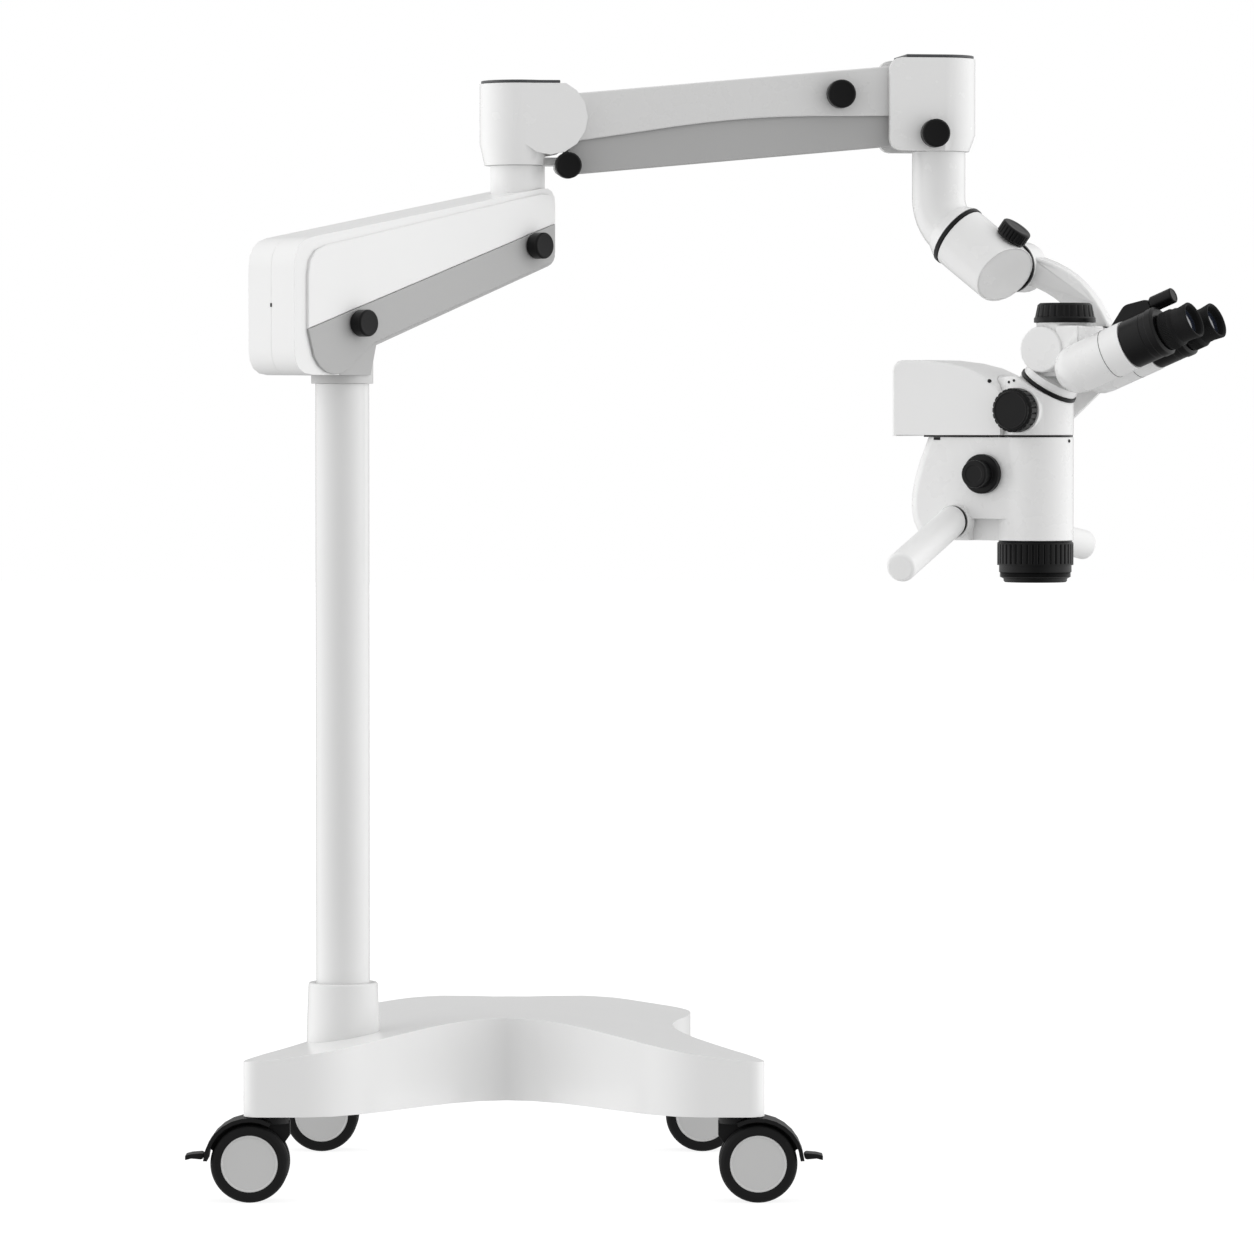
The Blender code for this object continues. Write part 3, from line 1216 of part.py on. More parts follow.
def make_yoke():
    near_face = YOKE_START + YOKE_HUB_PROUD
    arm = prism("yoke_arm", yoke_profile(), near_face, YOKE_FAR_FACE, HEAD, "white_paint",
                edge=YOKE_EDGE)
    lean_outwards(arm.data, near_face)
    upper = across_head("yoke_upper_hub", YOKE_UPPER_RADIUS, TILT_X, TILT_Z, YOKE_START,
                        YOKE_UPPER_FAR_FACE, None)
    lower = across_head("yoke_lower_hub", YOKE_LOWER_RADIUS, HUB_FORWARD, HUB_Z, HUB_START,
                        YOKE_FAR_FACE, None, edge=HUB_EDGE)
    spindle = across_head("tilt_spindle", TILT_SPINDLE_RADIUS, TILT_X, TILT_Z,
                          YOKE_START - TILT_SPINDLE, YOKE_START + SPINDLE_ROOT, None,
                          steps=STEPS_SMALL)
    bore = across_head("hub_bore", TILT_SPINDLE_RADIUS + GAP, HUB_FORWARD, HUB_Z,
                       HUB_START - SPINDLE_ROOT, HUB_START + HUB_BORE_DEPTH, None,
                       steps=STEPS_SMALL)
    add_to(arm, upper, lower, spindle)
    cut_from(arm, bore)


def make_carrier():
    """The bracket on the far side of the head: its foot, plate and hub spindle."""
    slope = math.degrees(math.atan2(HUB_Z - CARRIER_PAD_Z, HUB_FORWARD))
    high_radius = YOKE_LOWER_RADIUS - HUB_EDGE
    outline = (arc((HUB_FORWARD, HUB_Z), high_radius, slope - 80, slope + 80, 12)
               + arc((0.0, CARRIER_PAD_Z), PAD_RADIUS, slope + 90, slope + 270, 10))
    face = CARRIER_NEAR_FACE + CARRIER_THICKNESS
    carrier = prism("head_carrier", outline, CARRIER_NEAR_FACE, face, HEAD, "white_paint")
    foot = across_head("carrier_foot", PAD_RADIUS - PAD_RIM / 2, 0.0, CARRIER_PAD_Z,
                       PAD_FACE + GAP, CARRIER_NEAR_FACE + CARRIER_ROOT, None,
                       steps=STEPS_MIDDLE)
    spindle = across_head("carrier_spindle", TILT_SPINDLE_RADIUS, HUB_FORWARD, HUB_Z,
                          face - HUB_SPINDLE_ROOT, face + HUB_SPINDLE, None, steps=STEPS_SMALL)
    add_to(carrier, foot, spindle)


make_yoke()
make_carrier()


# Head: lower and upper body on the optical axis, light housing behind

NECK = frame_at("neck", (NECK_FORWARD, 0.0, NECK_Z), (0.0, NECK_TILT, 0.0), HEAD)


def make_lower_body():
    """The column round the optical axis and the rounded rear body with its handle bosses."""
    top = -PARTING / 2
    bottom = LOWER_BODY_BOTTOM
    back = -REAR_BACK
    outline = [(0.0, bottom), (0.0, top)]
    outline += swept((back + REAR_TOP_LEAN, top), (back - REAR_PULL, REAR_PULL_Z),
                     (back + REAR_FOOT_LEAN, bottom), 7)
    body = prism("lower_body", outline, -REAR_HALF, REAR_HALF, HEAD, "white_paint",
                 edge=REAR_EDGE, only_behind=REAR_EDGE_FRONT)
    for side, sign in (("near", -1), ("far", 1)):
        low, high = sorted((sign * (REAR_HALF - NOTCH_DEPTH), sign * BEYOND))
        notch = block("notch_" + side, (-NOTCH_BACK, low, bottom - BEYOND),
                      (NOTCH_FRONT, high, bottom + NOTCH_HEIGHT), HEAD, None)
        cut_from(body, notch)
    barrel = upright("optical_column", BODY_RADIUS, bottom, top, HEAD, None)
    register = upright("parting_register", BODY_RADIUS - REGISTER_INSET, top - PARTING,
                       top + PARTING - GAP, HEAD, None)
    pad = across_head("focus_pad", FOCUS_KNOB_RADIUS + PAD_RIM, 0.0, FILTER_KNOB_Z, 0.0, PAD_FACE,
                      None, steps=STEPS_MIDDLE)
    add_to(body, barrel, register, pad)
    for side, sign in (("near", -1), ("far", 1)):
        low, high = sorted((sign * (REAR_HALF - SPINDLE_ROOT), sign * HANDLE_BOSS_FACE))
        add_to(body, across_head("handle_boss_" + side, HANDLE_RADIUS + HANDLE_BOSS_RIM, HANDLE_X,
                                 HANDLE_Z, low, high, None, steps=STEPS_MIDDLE))
        low, high = sorted((sign * (HANDLE_BOSS_FACE - HANDLE_SOCKET_DEPTH),
                            sign * (HANDLE_BOSS_FACE + SPINDLE_ROOT)))
        cut_from(body, across_head("handle_socket_" + side, HANDLE_RADIUS / 2 + GAP, HANDLE_X,
                                   HANDLE_Z, low, high, None, steps=STEPS_SMALL))


def make_upper_body():
    """Its top is a slanted seat for the binocular; flat pads carry the knob and the carrier."""
    bottom = PARTING / 2
    rim = UPPER_BODY_RIM
    profile = [(0.0, UPPER_BODY_TOP), (BODY_RADIUS - rim, UPPER_BODY_TOP),
               (BODY_RADIUS, UPPER_BODY_TOP - rim), (BODY_RADIUS, bottom), (0.0, bottom)]
    body = turned("upper_body", profile, HEAD, "white_paint")
    neck = upright("neck_stub", NECK_RADIUS, -BODY_RADIUS, 0.0, NECK, None)
    far_pad = across_head("carrier_pad", PAD_RADIUS, 0.0, CARRIER_PAD_Z, 0.0, PAD_FACE, None,
                          steps=STEPS_MIDDLE)
    near_pad = across_head("knob_pad", MAG_KNOB_RADIUS + PAD_RIM, 0.0, MAG_KNOB_Z, -PAD_FACE, 0.0,
                           None)
    add_to(body, neck, far_pad, near_pad)
    above = block("above_seat", (-BEYOND, -BEYOND, 0.0), (BEYOND, BEYOND, BEYOND), NECK, None)
    below = block("below_parting", (-BEYOND, -BEYOND, bottom - BEYOND), (BEYOND, BEYOND, bottom),
                  HEAD, None)
    cut_from(body, above, below)


def make_light_housing():
    parting = PARTING / 2
    bottom = parting - HOUSING_LIP
    back = -HOUSING_BACK
    front = -HOUSING_FRONT
    top = HOUSING_TOP
    corner = HOUSING_REAR_CORNER
    outline = [(back, bottom), (front, bottom)]
    outline += swept((front, top - HOUSING_FRONT_DROP),
                     (front - HOUSING_PULL, top - HOUSING_PULL_DROP),
                     (front - HOUSING_SLOPE, top), 5)
    outline += arc((back + corner, top - corner), corner, 90, 180, 3)
    housing = prism("light_housing", outline, -HOUSING_HALF, HOUSING_HALF, HEAD, "white_paint",
                    edge=HOUSING_EDGE, only_behind=front - GAP)
    room = upright("body_room", BODY_RADIUS + GAP, top - BEYOND, top + BEYOND, HEAD, None)
    knob_room = across_head("knob_room", MAG_KNOB_RADIUS + HOUSING_KNOB_ROOM, 0.0, MAG_KNOB_Z,
                            -BEYOND, 0.0, None)
    pad_room = across_head("pad_room", PAD_RADIUS + PAD_RIM, 0.0, CARRIER_PAD_Z, 0.0, BEYOND,
                           None, steps=STEPS_MIDDLE)
    low_room = block("parting_room", (-REAR_BACK - REAR_PULL / 2, -BEYOND, bottom - BEYOND),
                     (0.0, BEYOND, parting), HEAD, None)
    cut_from(housing, room, knob_room, pad_room, low_room)


def make_head_knobs():
    edge = KNOB_EDGE
    length = MAG_KNOB_LENGTH
    radius = MAG_KNOB_RADIUS
    profile = [(0.0, length), (MAG_FACE_RADIUS, length), (MAG_FACE_EDGE_RADIUS, length - edge),
               (MAG_RIM_RADIUS, length - MAG_RIM_DROP), (radius - edge, length - MAG_RIM_DROP),
               (radius, length - MAG_RIM_DROP - edge), (radius, 0.0), (0.0, 0.0)]
    turned("magnification_knob", profile, HEAD, "black_plastic",
           at=(0.0, -(PAD_FACE + GAP), MAG_KNOB_Z), turn=(math.pi / 2, 0.0, 0.0))
    length = FILTER_KNOB_LENGTH
    base = FILTER_BASE_LENGTH
    profile = [(0.0, length), (FILTER_FRONT_RADIUS - edge, length),
               (FILTER_FRONT_RADIUS, length - edge), (FILTER_FRONT_RADIUS, base),
               (FILTER_BASE_RADIUS - edge / 2, base), (FILTER_BASE_RADIUS, base - edge),
               (FILTER_BASE_RADIUS, 0.0), (0.0, 0.0)]
    turned("filter_knob", profile, HEAD, "black_plastic",
           at=(FILTER_KNOB_X, -(REAR_HALF + GAP), FILTER_KNOB_Z), turn=(math.pi / 2, 0.0, 0.0),
           steps=STEPS_MIDDLE)
    length = FOCUS_KNOB_LENGTH
    profile = [(0.0, length), (FOCUS_KNOB_RADIUS - edge, length),
               (FOCUS_KNOB_RADIUS, length - edge), (FOCUS_KNOB_RADIUS, 0.0), (0.0, 0.0)]
    turned("focus_knob", profile, HEAD, "black_plastic", at=(0.0, PAD_FACE + GAP, FILTER_KNOB_Z),
           turn=(-math.pi / 2, 0.0, 0.0), steps=STEPS_MIDDLE)


def make_objective():
    """The focusing ring below the lower body, with the lens held in its bore."""
    top = LOWER_BODY_BOTTOM - GAP
    knurl = LOWER_BODY_BOTTOM - OBJECTIVE_KNURL_LENGTH
    bottom = LOWER_BODY_BOTTOM - OBJECTIVE_LENGTH
    lens_top = knurl - LENS_SEAT
    inner = LENS_RADIUS + GAP
    step = LENS_RADIUS - LENS_LEDGE
    edge = GAP * 3
    lip = OBJECTIVE_LIP_RADIUS
    ring = [(step, top), (OBJECTIVE_RADIUS - edge, top), (OBJECTIVE_RADIUS, top - edge),
            (OBJECTIVE_RADIUS, knurl), (lip, knurl - edge), (lip, bottom + OBJECTIVE_LIP_HEIGHT),
            (lip - OBJECTIVE_MOUTH, bottom), (inner, bottom), (inner, lens_top),
            (step, lens_top)]
    turned("objective_ring", ring, HEAD, "black_metal", closed=True)
    middle = lens_top - GAP - LENS_CROWN - LENS_RIM / 2
    count = 4
    upper = []
    lower = []
    for i in range(count + 1):
        share = i / count
        rise = LENS_RIM / 2 + LENS_CROWN * (1 - share * share)
        upper.append((LENS_RADIUS * share, middle + rise))
        lower.append((LENS_RADIUS * share, middle - rise))
    turned("objective_lens", upper + lower[::-1], HEAD, "lens_glass")


def make_handle(side, sign, turn):
    """A slanted grip that turns in its boss on the side of the lower body."""
    hinge = frame_at("handle_hinge_" + side, (HANDLE_X, 0.0, HANDLE_Z), parent=HEAD)
    start = HANDLE_BOSS_FACE + HANDLE_RING_THICKNESS
    points = [(0.0, sign * start, 0.0), (0.0, sign * (start + HANDLE_NECK), 0.0),
              (HANDLE_REACH * math.cos(turn), sign * (REAR_HALF + HANDLE_SIDE),
               -HANDLE_REACH * math.sin(turn))]
    grip = tube("handle_" + side, points, HANDLE_RADIUS, hinge, "white_paint", sides=4)
    low, high = sorted((sign * (start + SPINDLE_ROOT),
                        sign * (HANDLE_BOSS_FACE - HANDLE_SOCKET_DEPTH + GAP)))
    stub = cylinder("handle_stub_" + side, HANDLE_RADIUS / 2, high - low, hinge, None,
                    at=(0.0, (low + high) / 2, 0.0), along="Y", steps=STEPS_SMALL)
    add_to(grip, stub)


make_lower_body()
make_upper_body()
make_light_housing()
make_head_knobs()
make_objective()
make_handle("near", -1, NEAR_HANDLE_TURN)
make_handle("far", 1, FAR_HANDLE_TURN)


# Binocular: base on the slanted seat, inclining body, turning eye tubes

def make_interface():
    outer = NECK_RADIUS + PAD_RIM / 2
    high = GAP + INTERFACE_THICKNESS
    ring = [(INTERFACE_BORE, high), (outer, high), (outer, GAP), (INTERFACE_BORE, GAP)]
    turned("interface_ring", ring, NECK, "black_metal", closed=True)


def make_binocular_base():
    low = 2 * GAP + INTERFACE_THICKNESS
    base = upright("binocular_base", NECK_RADIUS - PAD_RIM / 2, low, low + TUBE_NECK_LENGTH, NECK,
                   "white_paint")
    hub = across_head("incline_hub", INCLINE_HUB_RADIUS, INCLINE_X, INCLINE_Z, -INCLINE_HUB_HALF,
                      INCLINE_HUB_HALF, None, steps=STEPS_MIDDLE)
    half = INCLINE_HUB_RADIUS - PAD_RIM
    web = block("hub_web", (INCLINE_X - half, -INCLINE_HUB_HALF, INCLINE_Z - INCLINE_WEB_DROP),
                (INCLINE_X + half, INCLINE_HUB_HALF, INCLINE_Z), HEAD, None)
    add_to(base, hub, web)
    cut_from(base, across_head("incline_bore", PIN_RADIUS + GAP, INCLINE_X, INCLINE_Z, -BEYOND,
                               BEYOND, None, steps=STEPS_SMALL))


def eye_frame(name, side):
    """A frame at a barrel's root: Z runs out along the barrel, X points down."""
    return frame_at(name, (BARREL_ROOT_X, side * EYE_HALF, BARREL_ROOT_Z),
                    (0.0, math.pi / 2 - EYE_SLOPE, 0.0), HEAD)


def make_barrel(side, sign):
    """A white barrel with a ball-shaped root and a bore for the eye tube's spigot."""
    bore = EYE_SPIGOT_RADIUS + GAP
    floor = BARREL_WHITE_END - EYE_SPIGOT - GAP * 3
    profile = [(0.0, floor), (bore, floor), (bore, BARREL_WHITE_END),
               (BARREL_RADIUS, BARREL_WHITE_END)]
    profile += arc((0.0, 0.0), BARREL_RADIUS, 0, -90, 6)
    return turned("barrel_" + side, profile, eye_frame("barrel_axis_" + side, sign), None,
                  steps=STEPS_MIDDLE)


def make_binocular_body():
    """Side discs on the hub, the port on top and the two barrels in front."""
    body = across_head("binocular_body", CHEEK_DISC_RADIUS, INCLINE_X, INCLINE_Z,
                       -CHEEK_DISC_HALF, CHEEK_DISC_HALF, "white_paint", edge=CHEEK_EDGE)
    slot_half = INCLINE_HUB_HALF + GAP
    cut_from(body, block("hub_slot", (-BEYOND, -slot_half, INCLINE_Z - INCLINE_SLOT_DROP),
                         (INCLINE_SLOT_FRONT, slot_half, PORT_BOTTOM), HEAD, None))
    port = upright("port", PORT_RADIUS, PORT_BOTTOM, PORT_TOP, HEAD, None, x=PORT_X)
    half = CHEEK_DISC_HALF - CHEEK_EDGE
    front = block("front_bridge", (FRONT_BRIDGE_BACK, -half, FRONT_BRIDGE_BOTTOM),
                  (FRONT_BRIDGE_FRONT, half, FRONT_BRIDGE_TOP), HEAD, None, edge=CHEEK_EDGE)
    add_to(body, port, front)
    for side, sign in (("near", -1), ("far", 1)):
        low, high = sorted((sign * CHEEK_EDGE, sign * (INCLINE_HUB_HALF + TRUNNION_REACH)))
        add_to(body, make_barrel(side, sign),
               across_head("trunnion_" + side, PIN_RADIUS, INCLINE_X, INCLINE_Z, low, high, None,
                           steps=STEPS_SMALL))


def make_port_cap():
    wide = PORT_CAP_RADIUS
    narrow = PORT_CAP_TOP_RADIUS
    edge = KNOB_EDGE
    profile = [(0.0, PORT_CAP_TOP), (narrow, PORT_CAP_TOP),
               (narrow + PORT_CAP_CHAMFER, PORT_CAP_TOP - PORT_CAP_CHAMFER),
               (wide - edge, PORT_TOP + PORT_CAP_WAIST), (wide, PORT_TOP + PORT_CAP_FOOT),
               (wide, PORT_TOP + GAP), (0.0, PORT_TOP + GAP)]
    turned("port_cap", profile, HEAD, "black_plastic", at=(PORT_X, 0.0, 0.0))


def make_eye_tube(side, sign):
    """The black tube that turns on the barrel; the eyepiece sits off its axis."""
    axis = eye_frame("eye_tube_axis_" + side, sign)
    low = BARREL_WHITE_END + GAP
    high = low + EYE_TUBE_LENGTH
    band = high - EYE_TUBE_BAND
    edge = KNOB_EDGE
    radius = BARREL_RADIUS
    waist = radius - edge / 2
    spigot = EYE_SPIGOT_RADIUS
    profile = [(0.0, high), (radius - 2 * edge, high), (radius, high - edge), (radius, band),
               (waist, band - edge / 2), (waist, low + edge), (radius - edge, low), (spigot, low),
               (spigot, low - EYE_SPIGOT), (0.0, low - EYE_SPIGOT)]
    tube_piece = turned("eye_tube_" + side, profile, axis, "black_metal", steps=STEPS_MIDDLE)
    depth = EYEPIECE_SPIGOT + KNOB_EDGE
    bore = cylinder("eyepiece_bore_" + side, EYEPIECE_SPIGOT_RADIUS + GAP, depth, axis, None,
                    at=(EYE_TUBE_OFFSET, 0.0, high - depth / 2 + GAP), steps=STEPS_MIDDLE)
    cut_from(tube_piece, bore)
    make_eyepiece(side, axis, high + GAP)


def make_eyepiece(side, axis, seat):
    """Spigot, dioptre ring and eyecup in one piece, off the tube's axis."""
    end = seat + EYEPIECE_LENGTH - GAP
    cup = EYECUP_RADIUS
    hollow = end - EYECUP_DEPTH
    ring = EYEPIECE_RADIUS
    spigot = EYEPIECE_SPIGOT_RADIUS
    profile = [(0.0, hollow), (cup - EYECUP_WALL, hollow), (cup - EYECUP_WALL / 2, end),
               (cup, end), (cup, seat + EYECUP_LOW), (ring, seat + EYEPIECE_BAND_HIGH),
               (ring, seat + EYEPIECE_BAND_LOW), (ring - KNOB_EDGE, seat), (spigot, seat),
               (spigot, seat - EYEPIECE_SPIGOT), (0.0, seat - EYEPIECE_SPIGOT)]
    turned("eyepiece_" + side, profile, axis, "black_plastic", at=(EYE_TUBE_OFFSET, 0.0, 0.0),
           steps=STEPS_MIDDLE)


def make_eye_bridge():
    """The bridge between the barrels and the knob that sets the eye distance."""
    axis = frame_at("eye_bridge_axis", (BARREL_ROOT_X, 0.0, BARREL_ROOT_Z), (0.0, -EYE_SLOPE, 0.0),
                    HEAD)
    half = EYE_BRIDGE_HALF
    seat = math.sqrt(BARREL_RADIUS ** 2 - (EYE_HALF - half) ** 2) + GAP
    over = BARREL_RADIUS + EYE_BRIDGE_OVER
    start = BARREL_WHITE_END - EYE_BRIDGE_BACK
    split = BARREL_WHITE_END - GAP
    end = BARREL_WHITE_END + EYE_BRIDGE_FRONT
    corner = EYE_BRIDGE_CORNER
    outline = eased([(start, seat, 0.0), (split, seat, 0.0), (split, over, 0.0), (end, over, 0.0),
                     (end, over + EYE_BRIDGE_NOSE_RISE, corner),
                     (split, over + EYE_BRIDGE_RISE, corner),
                     (start, over + EYE_BRIDGE_OVER, corner / 2)])
    bridge = prism("eye_bridge", outline, -half, half, axis, "black_plastic")
    height = over + EYE_DIAL_HEIGHT
    shaft = EYE_DIAL_SHAFT_RADIUS
    low = end - EYE_DIAL_SHAFT
    bore = cylinder("eye_dial_bore", shaft + GAP, EYE_DIAL_SHAFT + 3 * GAP, axis, None,
                    at=((low + end) / 2, 0.0, height), along="X", steps=STEPS_SMALL)
    cut_from(bridge, bore)
    knob = cylinder("eye_distance_knob", EYE_DIAL_RADIUS, EYE_DIAL_LENGTH, axis, "black_plastic",
                    at=(end + GAP + EYE_DIAL_LENGTH / 2, 0.0, height), along="X",
                    steps=STEPS_MIDDLE, edge=KNOB_EDGE)
    stem = cylinder("eye_dial_stem", shaft, EYE_DIAL_SHAFT + EYE_DIAL_RADIUS, axis, None,
                    at=((low + end + EYE_DIAL_RADIUS) / 2, 0.0, height), along="X",
                    steps=STEPS_SMALL)
    add_to(knob, stem)


make_interface()
make_binocular_base()
make_binocular_body()
make_port_cap()
for side_name, side_of in (("near", -1), ("far", 1)):
    make_eye_tube(side_name, side_of)
make_eye_bridge()
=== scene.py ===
import json
import math

import bmesh
import bpy
from mathutils import Euler, Matrix, Vector


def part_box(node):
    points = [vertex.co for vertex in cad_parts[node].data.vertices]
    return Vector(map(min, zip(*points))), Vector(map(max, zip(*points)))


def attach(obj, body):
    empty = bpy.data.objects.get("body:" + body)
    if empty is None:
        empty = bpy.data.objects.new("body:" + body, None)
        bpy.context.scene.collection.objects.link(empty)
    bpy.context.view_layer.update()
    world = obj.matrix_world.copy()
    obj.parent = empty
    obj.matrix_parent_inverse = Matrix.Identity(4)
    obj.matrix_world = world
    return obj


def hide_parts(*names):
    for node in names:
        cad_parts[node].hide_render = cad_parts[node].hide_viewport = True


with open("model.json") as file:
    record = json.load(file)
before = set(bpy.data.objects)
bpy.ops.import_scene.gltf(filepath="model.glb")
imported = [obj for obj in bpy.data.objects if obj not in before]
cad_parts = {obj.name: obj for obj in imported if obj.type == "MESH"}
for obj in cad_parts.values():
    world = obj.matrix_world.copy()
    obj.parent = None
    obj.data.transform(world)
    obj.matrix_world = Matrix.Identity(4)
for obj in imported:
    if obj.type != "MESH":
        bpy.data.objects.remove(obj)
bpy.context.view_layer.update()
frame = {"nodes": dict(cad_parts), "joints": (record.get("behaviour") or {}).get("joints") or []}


# Camera
# A long lens a little under the height of the arms, looking along the stand's near side and
# tipped slightly down, so that upright edges stay upright.

CAMERA_AT = Vector((-0.1152, -8.2147, 0.998))
CAMERA_DIP = math.radians(1.912)
CAMERA_LENS = 178.0
SENSOR_WIDTH = 36.0
SEEN_FROM = 0.1
SEEN_TO = 200.0

camera = bpy.data.cameras.new("camera")
camera.lens = CAMERA_LENS
camera.sensor_width = SENSOR_WIDTH
camera.clip_start = SEEN_FROM
camera.clip_end = SEEN_TO
camera_object = bpy.data.objects.new("camera", camera)
camera_object.location = CAMERA_AT
camera_object.rotation_euler = Euler((math.pi / 2 - CAMERA_DIP, 0.0, 0.0))
bpy.context.scene.collection.objects.link(camera_object)
bpy.context.scene.camera = camera_object


# Studio
# A white table with no edge in sight, lit by large soft walls to the left and right and a ceiling,
# and darker towards the camera. The paper and the far room show as pure white.

WHITE = (1.0, 1.0, 1.0, 1.0)
FLOOR_HALF = 30.0
PAPER_SHADE = 0.26
PAPER_GLOW = 0.85
ROOM_FRONT = 0.35
ROOM_SIDES = 1.35
ROOM_CEILING = 0.46
ROUND_STEPS = 96
SAME_POINT = 0.00001


def sum_node(tree, operation, *values):
    """A sum whose terms are constants or other nodes' outputs."""
    made = tree.nodes.new("ShaderNodeMath")
    made.operation = operation
    for socket, value in zip(made.inputs, values):
        if isinstance(value, float):
            socket.default_value = value
        else:
            tree.links.new(value, socket)
    return made.outputs[0]


def light_room():
    """The soft room round the table: its glow by direction, and white where it is seen."""
    room = bpy.data.worlds.new("studio room")
    room.use_nodes = True
    tree = room.node_tree
    way = tree.nodes.new("ShaderNodeTexCoord")
    split = tree.nodes.new("ShaderNodeSeparateXYZ")
    tree.links.new(way.outputs["Generated"], split.inputs["Vector"])
    across, up = split.outputs["X"], split.outputs["Z"]
    square = sum_node(tree, "MULTIPLY", across, across)
    sides = sum_node(tree, "MULTIPLY_ADD", square, ROOM_SIDES, ROOM_FRONT)
    above = sum_node(tree, "MAXIMUM", up, 0.0)
    level = sum_node(tree, "MULTIPLY_ADD", above, ROOM_CEILING, sides)
    walls = tree.nodes["Background"]
    walls.inputs["Color"].default_value = WHITE
    tree.links.new(level, walls.inputs["Strength"])
    seen = tree.nodes.new("ShaderNodeBackground")
    seen.inputs["Color"].default_value = WHITE
    ray = tree.nodes.new("ShaderNodeLightPath")
    choice = tree.nodes.new("ShaderNodeMixShader")
    tree.links.new(ray.outputs["Is Camera Ray"], choice.inputs[0])
    tree.links.new(walls.outputs["Background"], choice.inputs[1])
    tree.links.new(seen.outputs["Background"], choice.inputs[2])
    tree.links.new(choice.outputs["Shader"], tree.nodes["World Output"].inputs["Surface"])
    return room


def spun(outline, steps=ROUND_STEPS):
    """Radius and height pairs spun about Z into a closed round form."""
    build = bmesh.new()
    corners = [build.verts.new((radius, 0.0, height)) for radius, height in outline]
    rim = [build.edges.new(pair) for pair in zip(corners, corners[1:])]
    bmesh.ops.spin(build, geom=corners + rim, cent=(0.0, 0.0, 0.0), axis=(0.0, 0.0, 1.0),
                   angle=math.tau, steps=steps, use_merge=True, use_duplicate=False)
    bmesh.ops.remove_doubles(build, verts=build.verts, dist=SAME_POINT)
    bmesh.ops.recalc_face_normals(build, faces=build.faces)
    return build


def to_object(name, build, sharp=40):
    """A finished mesh as an object at the origin, smooth apart from its sharp edges."""
    mesh = bpy.data.meshes.new(name)
    build.to_mesh(mesh)
    build.free()
    mesh.shade_smooth()
    mesh.set_sharp_from_angle(angle=math.radians(sharp))
    piece = bpy.data.objects.new(name, mesh)
    bpy.context.scene.collection.objects.link(piece)
    flats = piece.modifiers.new("flats", "WEIGHTED_NORMAL")
    flats.keep_sharp = True
    return piece


bpy.context.scene.world = light_room()
bpy.context.scene.view_settings.view_transform = "Standard"
bpy.context.scene.view_settings.look = "None"

floor = bmesh.new()
bmesh.ops.create_grid(floor, x_segments=1, y_segments=1, size=FLOOR_HALF)
paper = to_object("studio_paper", floor)
paper_finish = bpy.data.materials.new("studio paper")
paper_finish.use_nodes = True
sheet = paper_finish.node_tree.nodes["Principled BSDF"]
sheet.inputs["Base Color"].default_value = (PAPER_SHADE, PAPER_SHADE, PAPER_SHADE, 1.0)
sheet.inputs["Roughness"].default_value = 1.0
sheet.inputs["Specular IOR Level"].default_value = 0.0
sheet.inputs["Emission Color"].default_value = WHITE
sheet.inputs["Emission Strength"].default_value = PAPER_GLOW
paper.data.materials.append(paper_finish)
paper.visible_diffuse = False
paper.visible_glossy = False
paper.visible_shadow = False


# Floor base
# One aluminium casting, X-shaped in plan and domed a little towards its middle. It is enamelled
# white, with softly rounded upper edges. The casters' stems go up into its four ends.

ENAMEL_WHITE = (0.865, 0.865, 0.862)
DRIFT_SCALE = 7.0
DRIFT_DETAIL = 3.0
GLOSS_SCALE = 42.0
GLOSS_DETAIL = 4.0
GRAIN_DETAIL = 2.0
NOISE_LOW = 0.3
NOISE_HIGH = 0.7
GRAIN_DEPTH = 0.0006
COAT_ROUGHNESS = 0.12
SPLIT_POINT = 0.00002
FLAT_TURN = math.radians(0.6)


def uneven(tree, where, scale, detail):
    """Noise over the piece's own coordinates, spread out to run from -1 to 1."""
    noise = tree.nodes.new("ShaderNodeTexNoise")
    noise.inputs["Scale"].default_value = scale
    noise.inputs["Detail"].default_value = detail
    tree.links.new(where.outputs["Object"], noise.inputs["Vector"])
    spread = tree.nodes.new("ShaderNodeMapRange")
    spread.inputs["From Min"].default_value = NOISE_LOW
    spread.inputs["From Max"].default_value = NOISE_HIGH
    spread.inputs["To Min"].default_value = -1.0
    tree.links.new(noise.outputs["Fac"], spread.inputs["Value"])
    return spread.outputs["Result"]


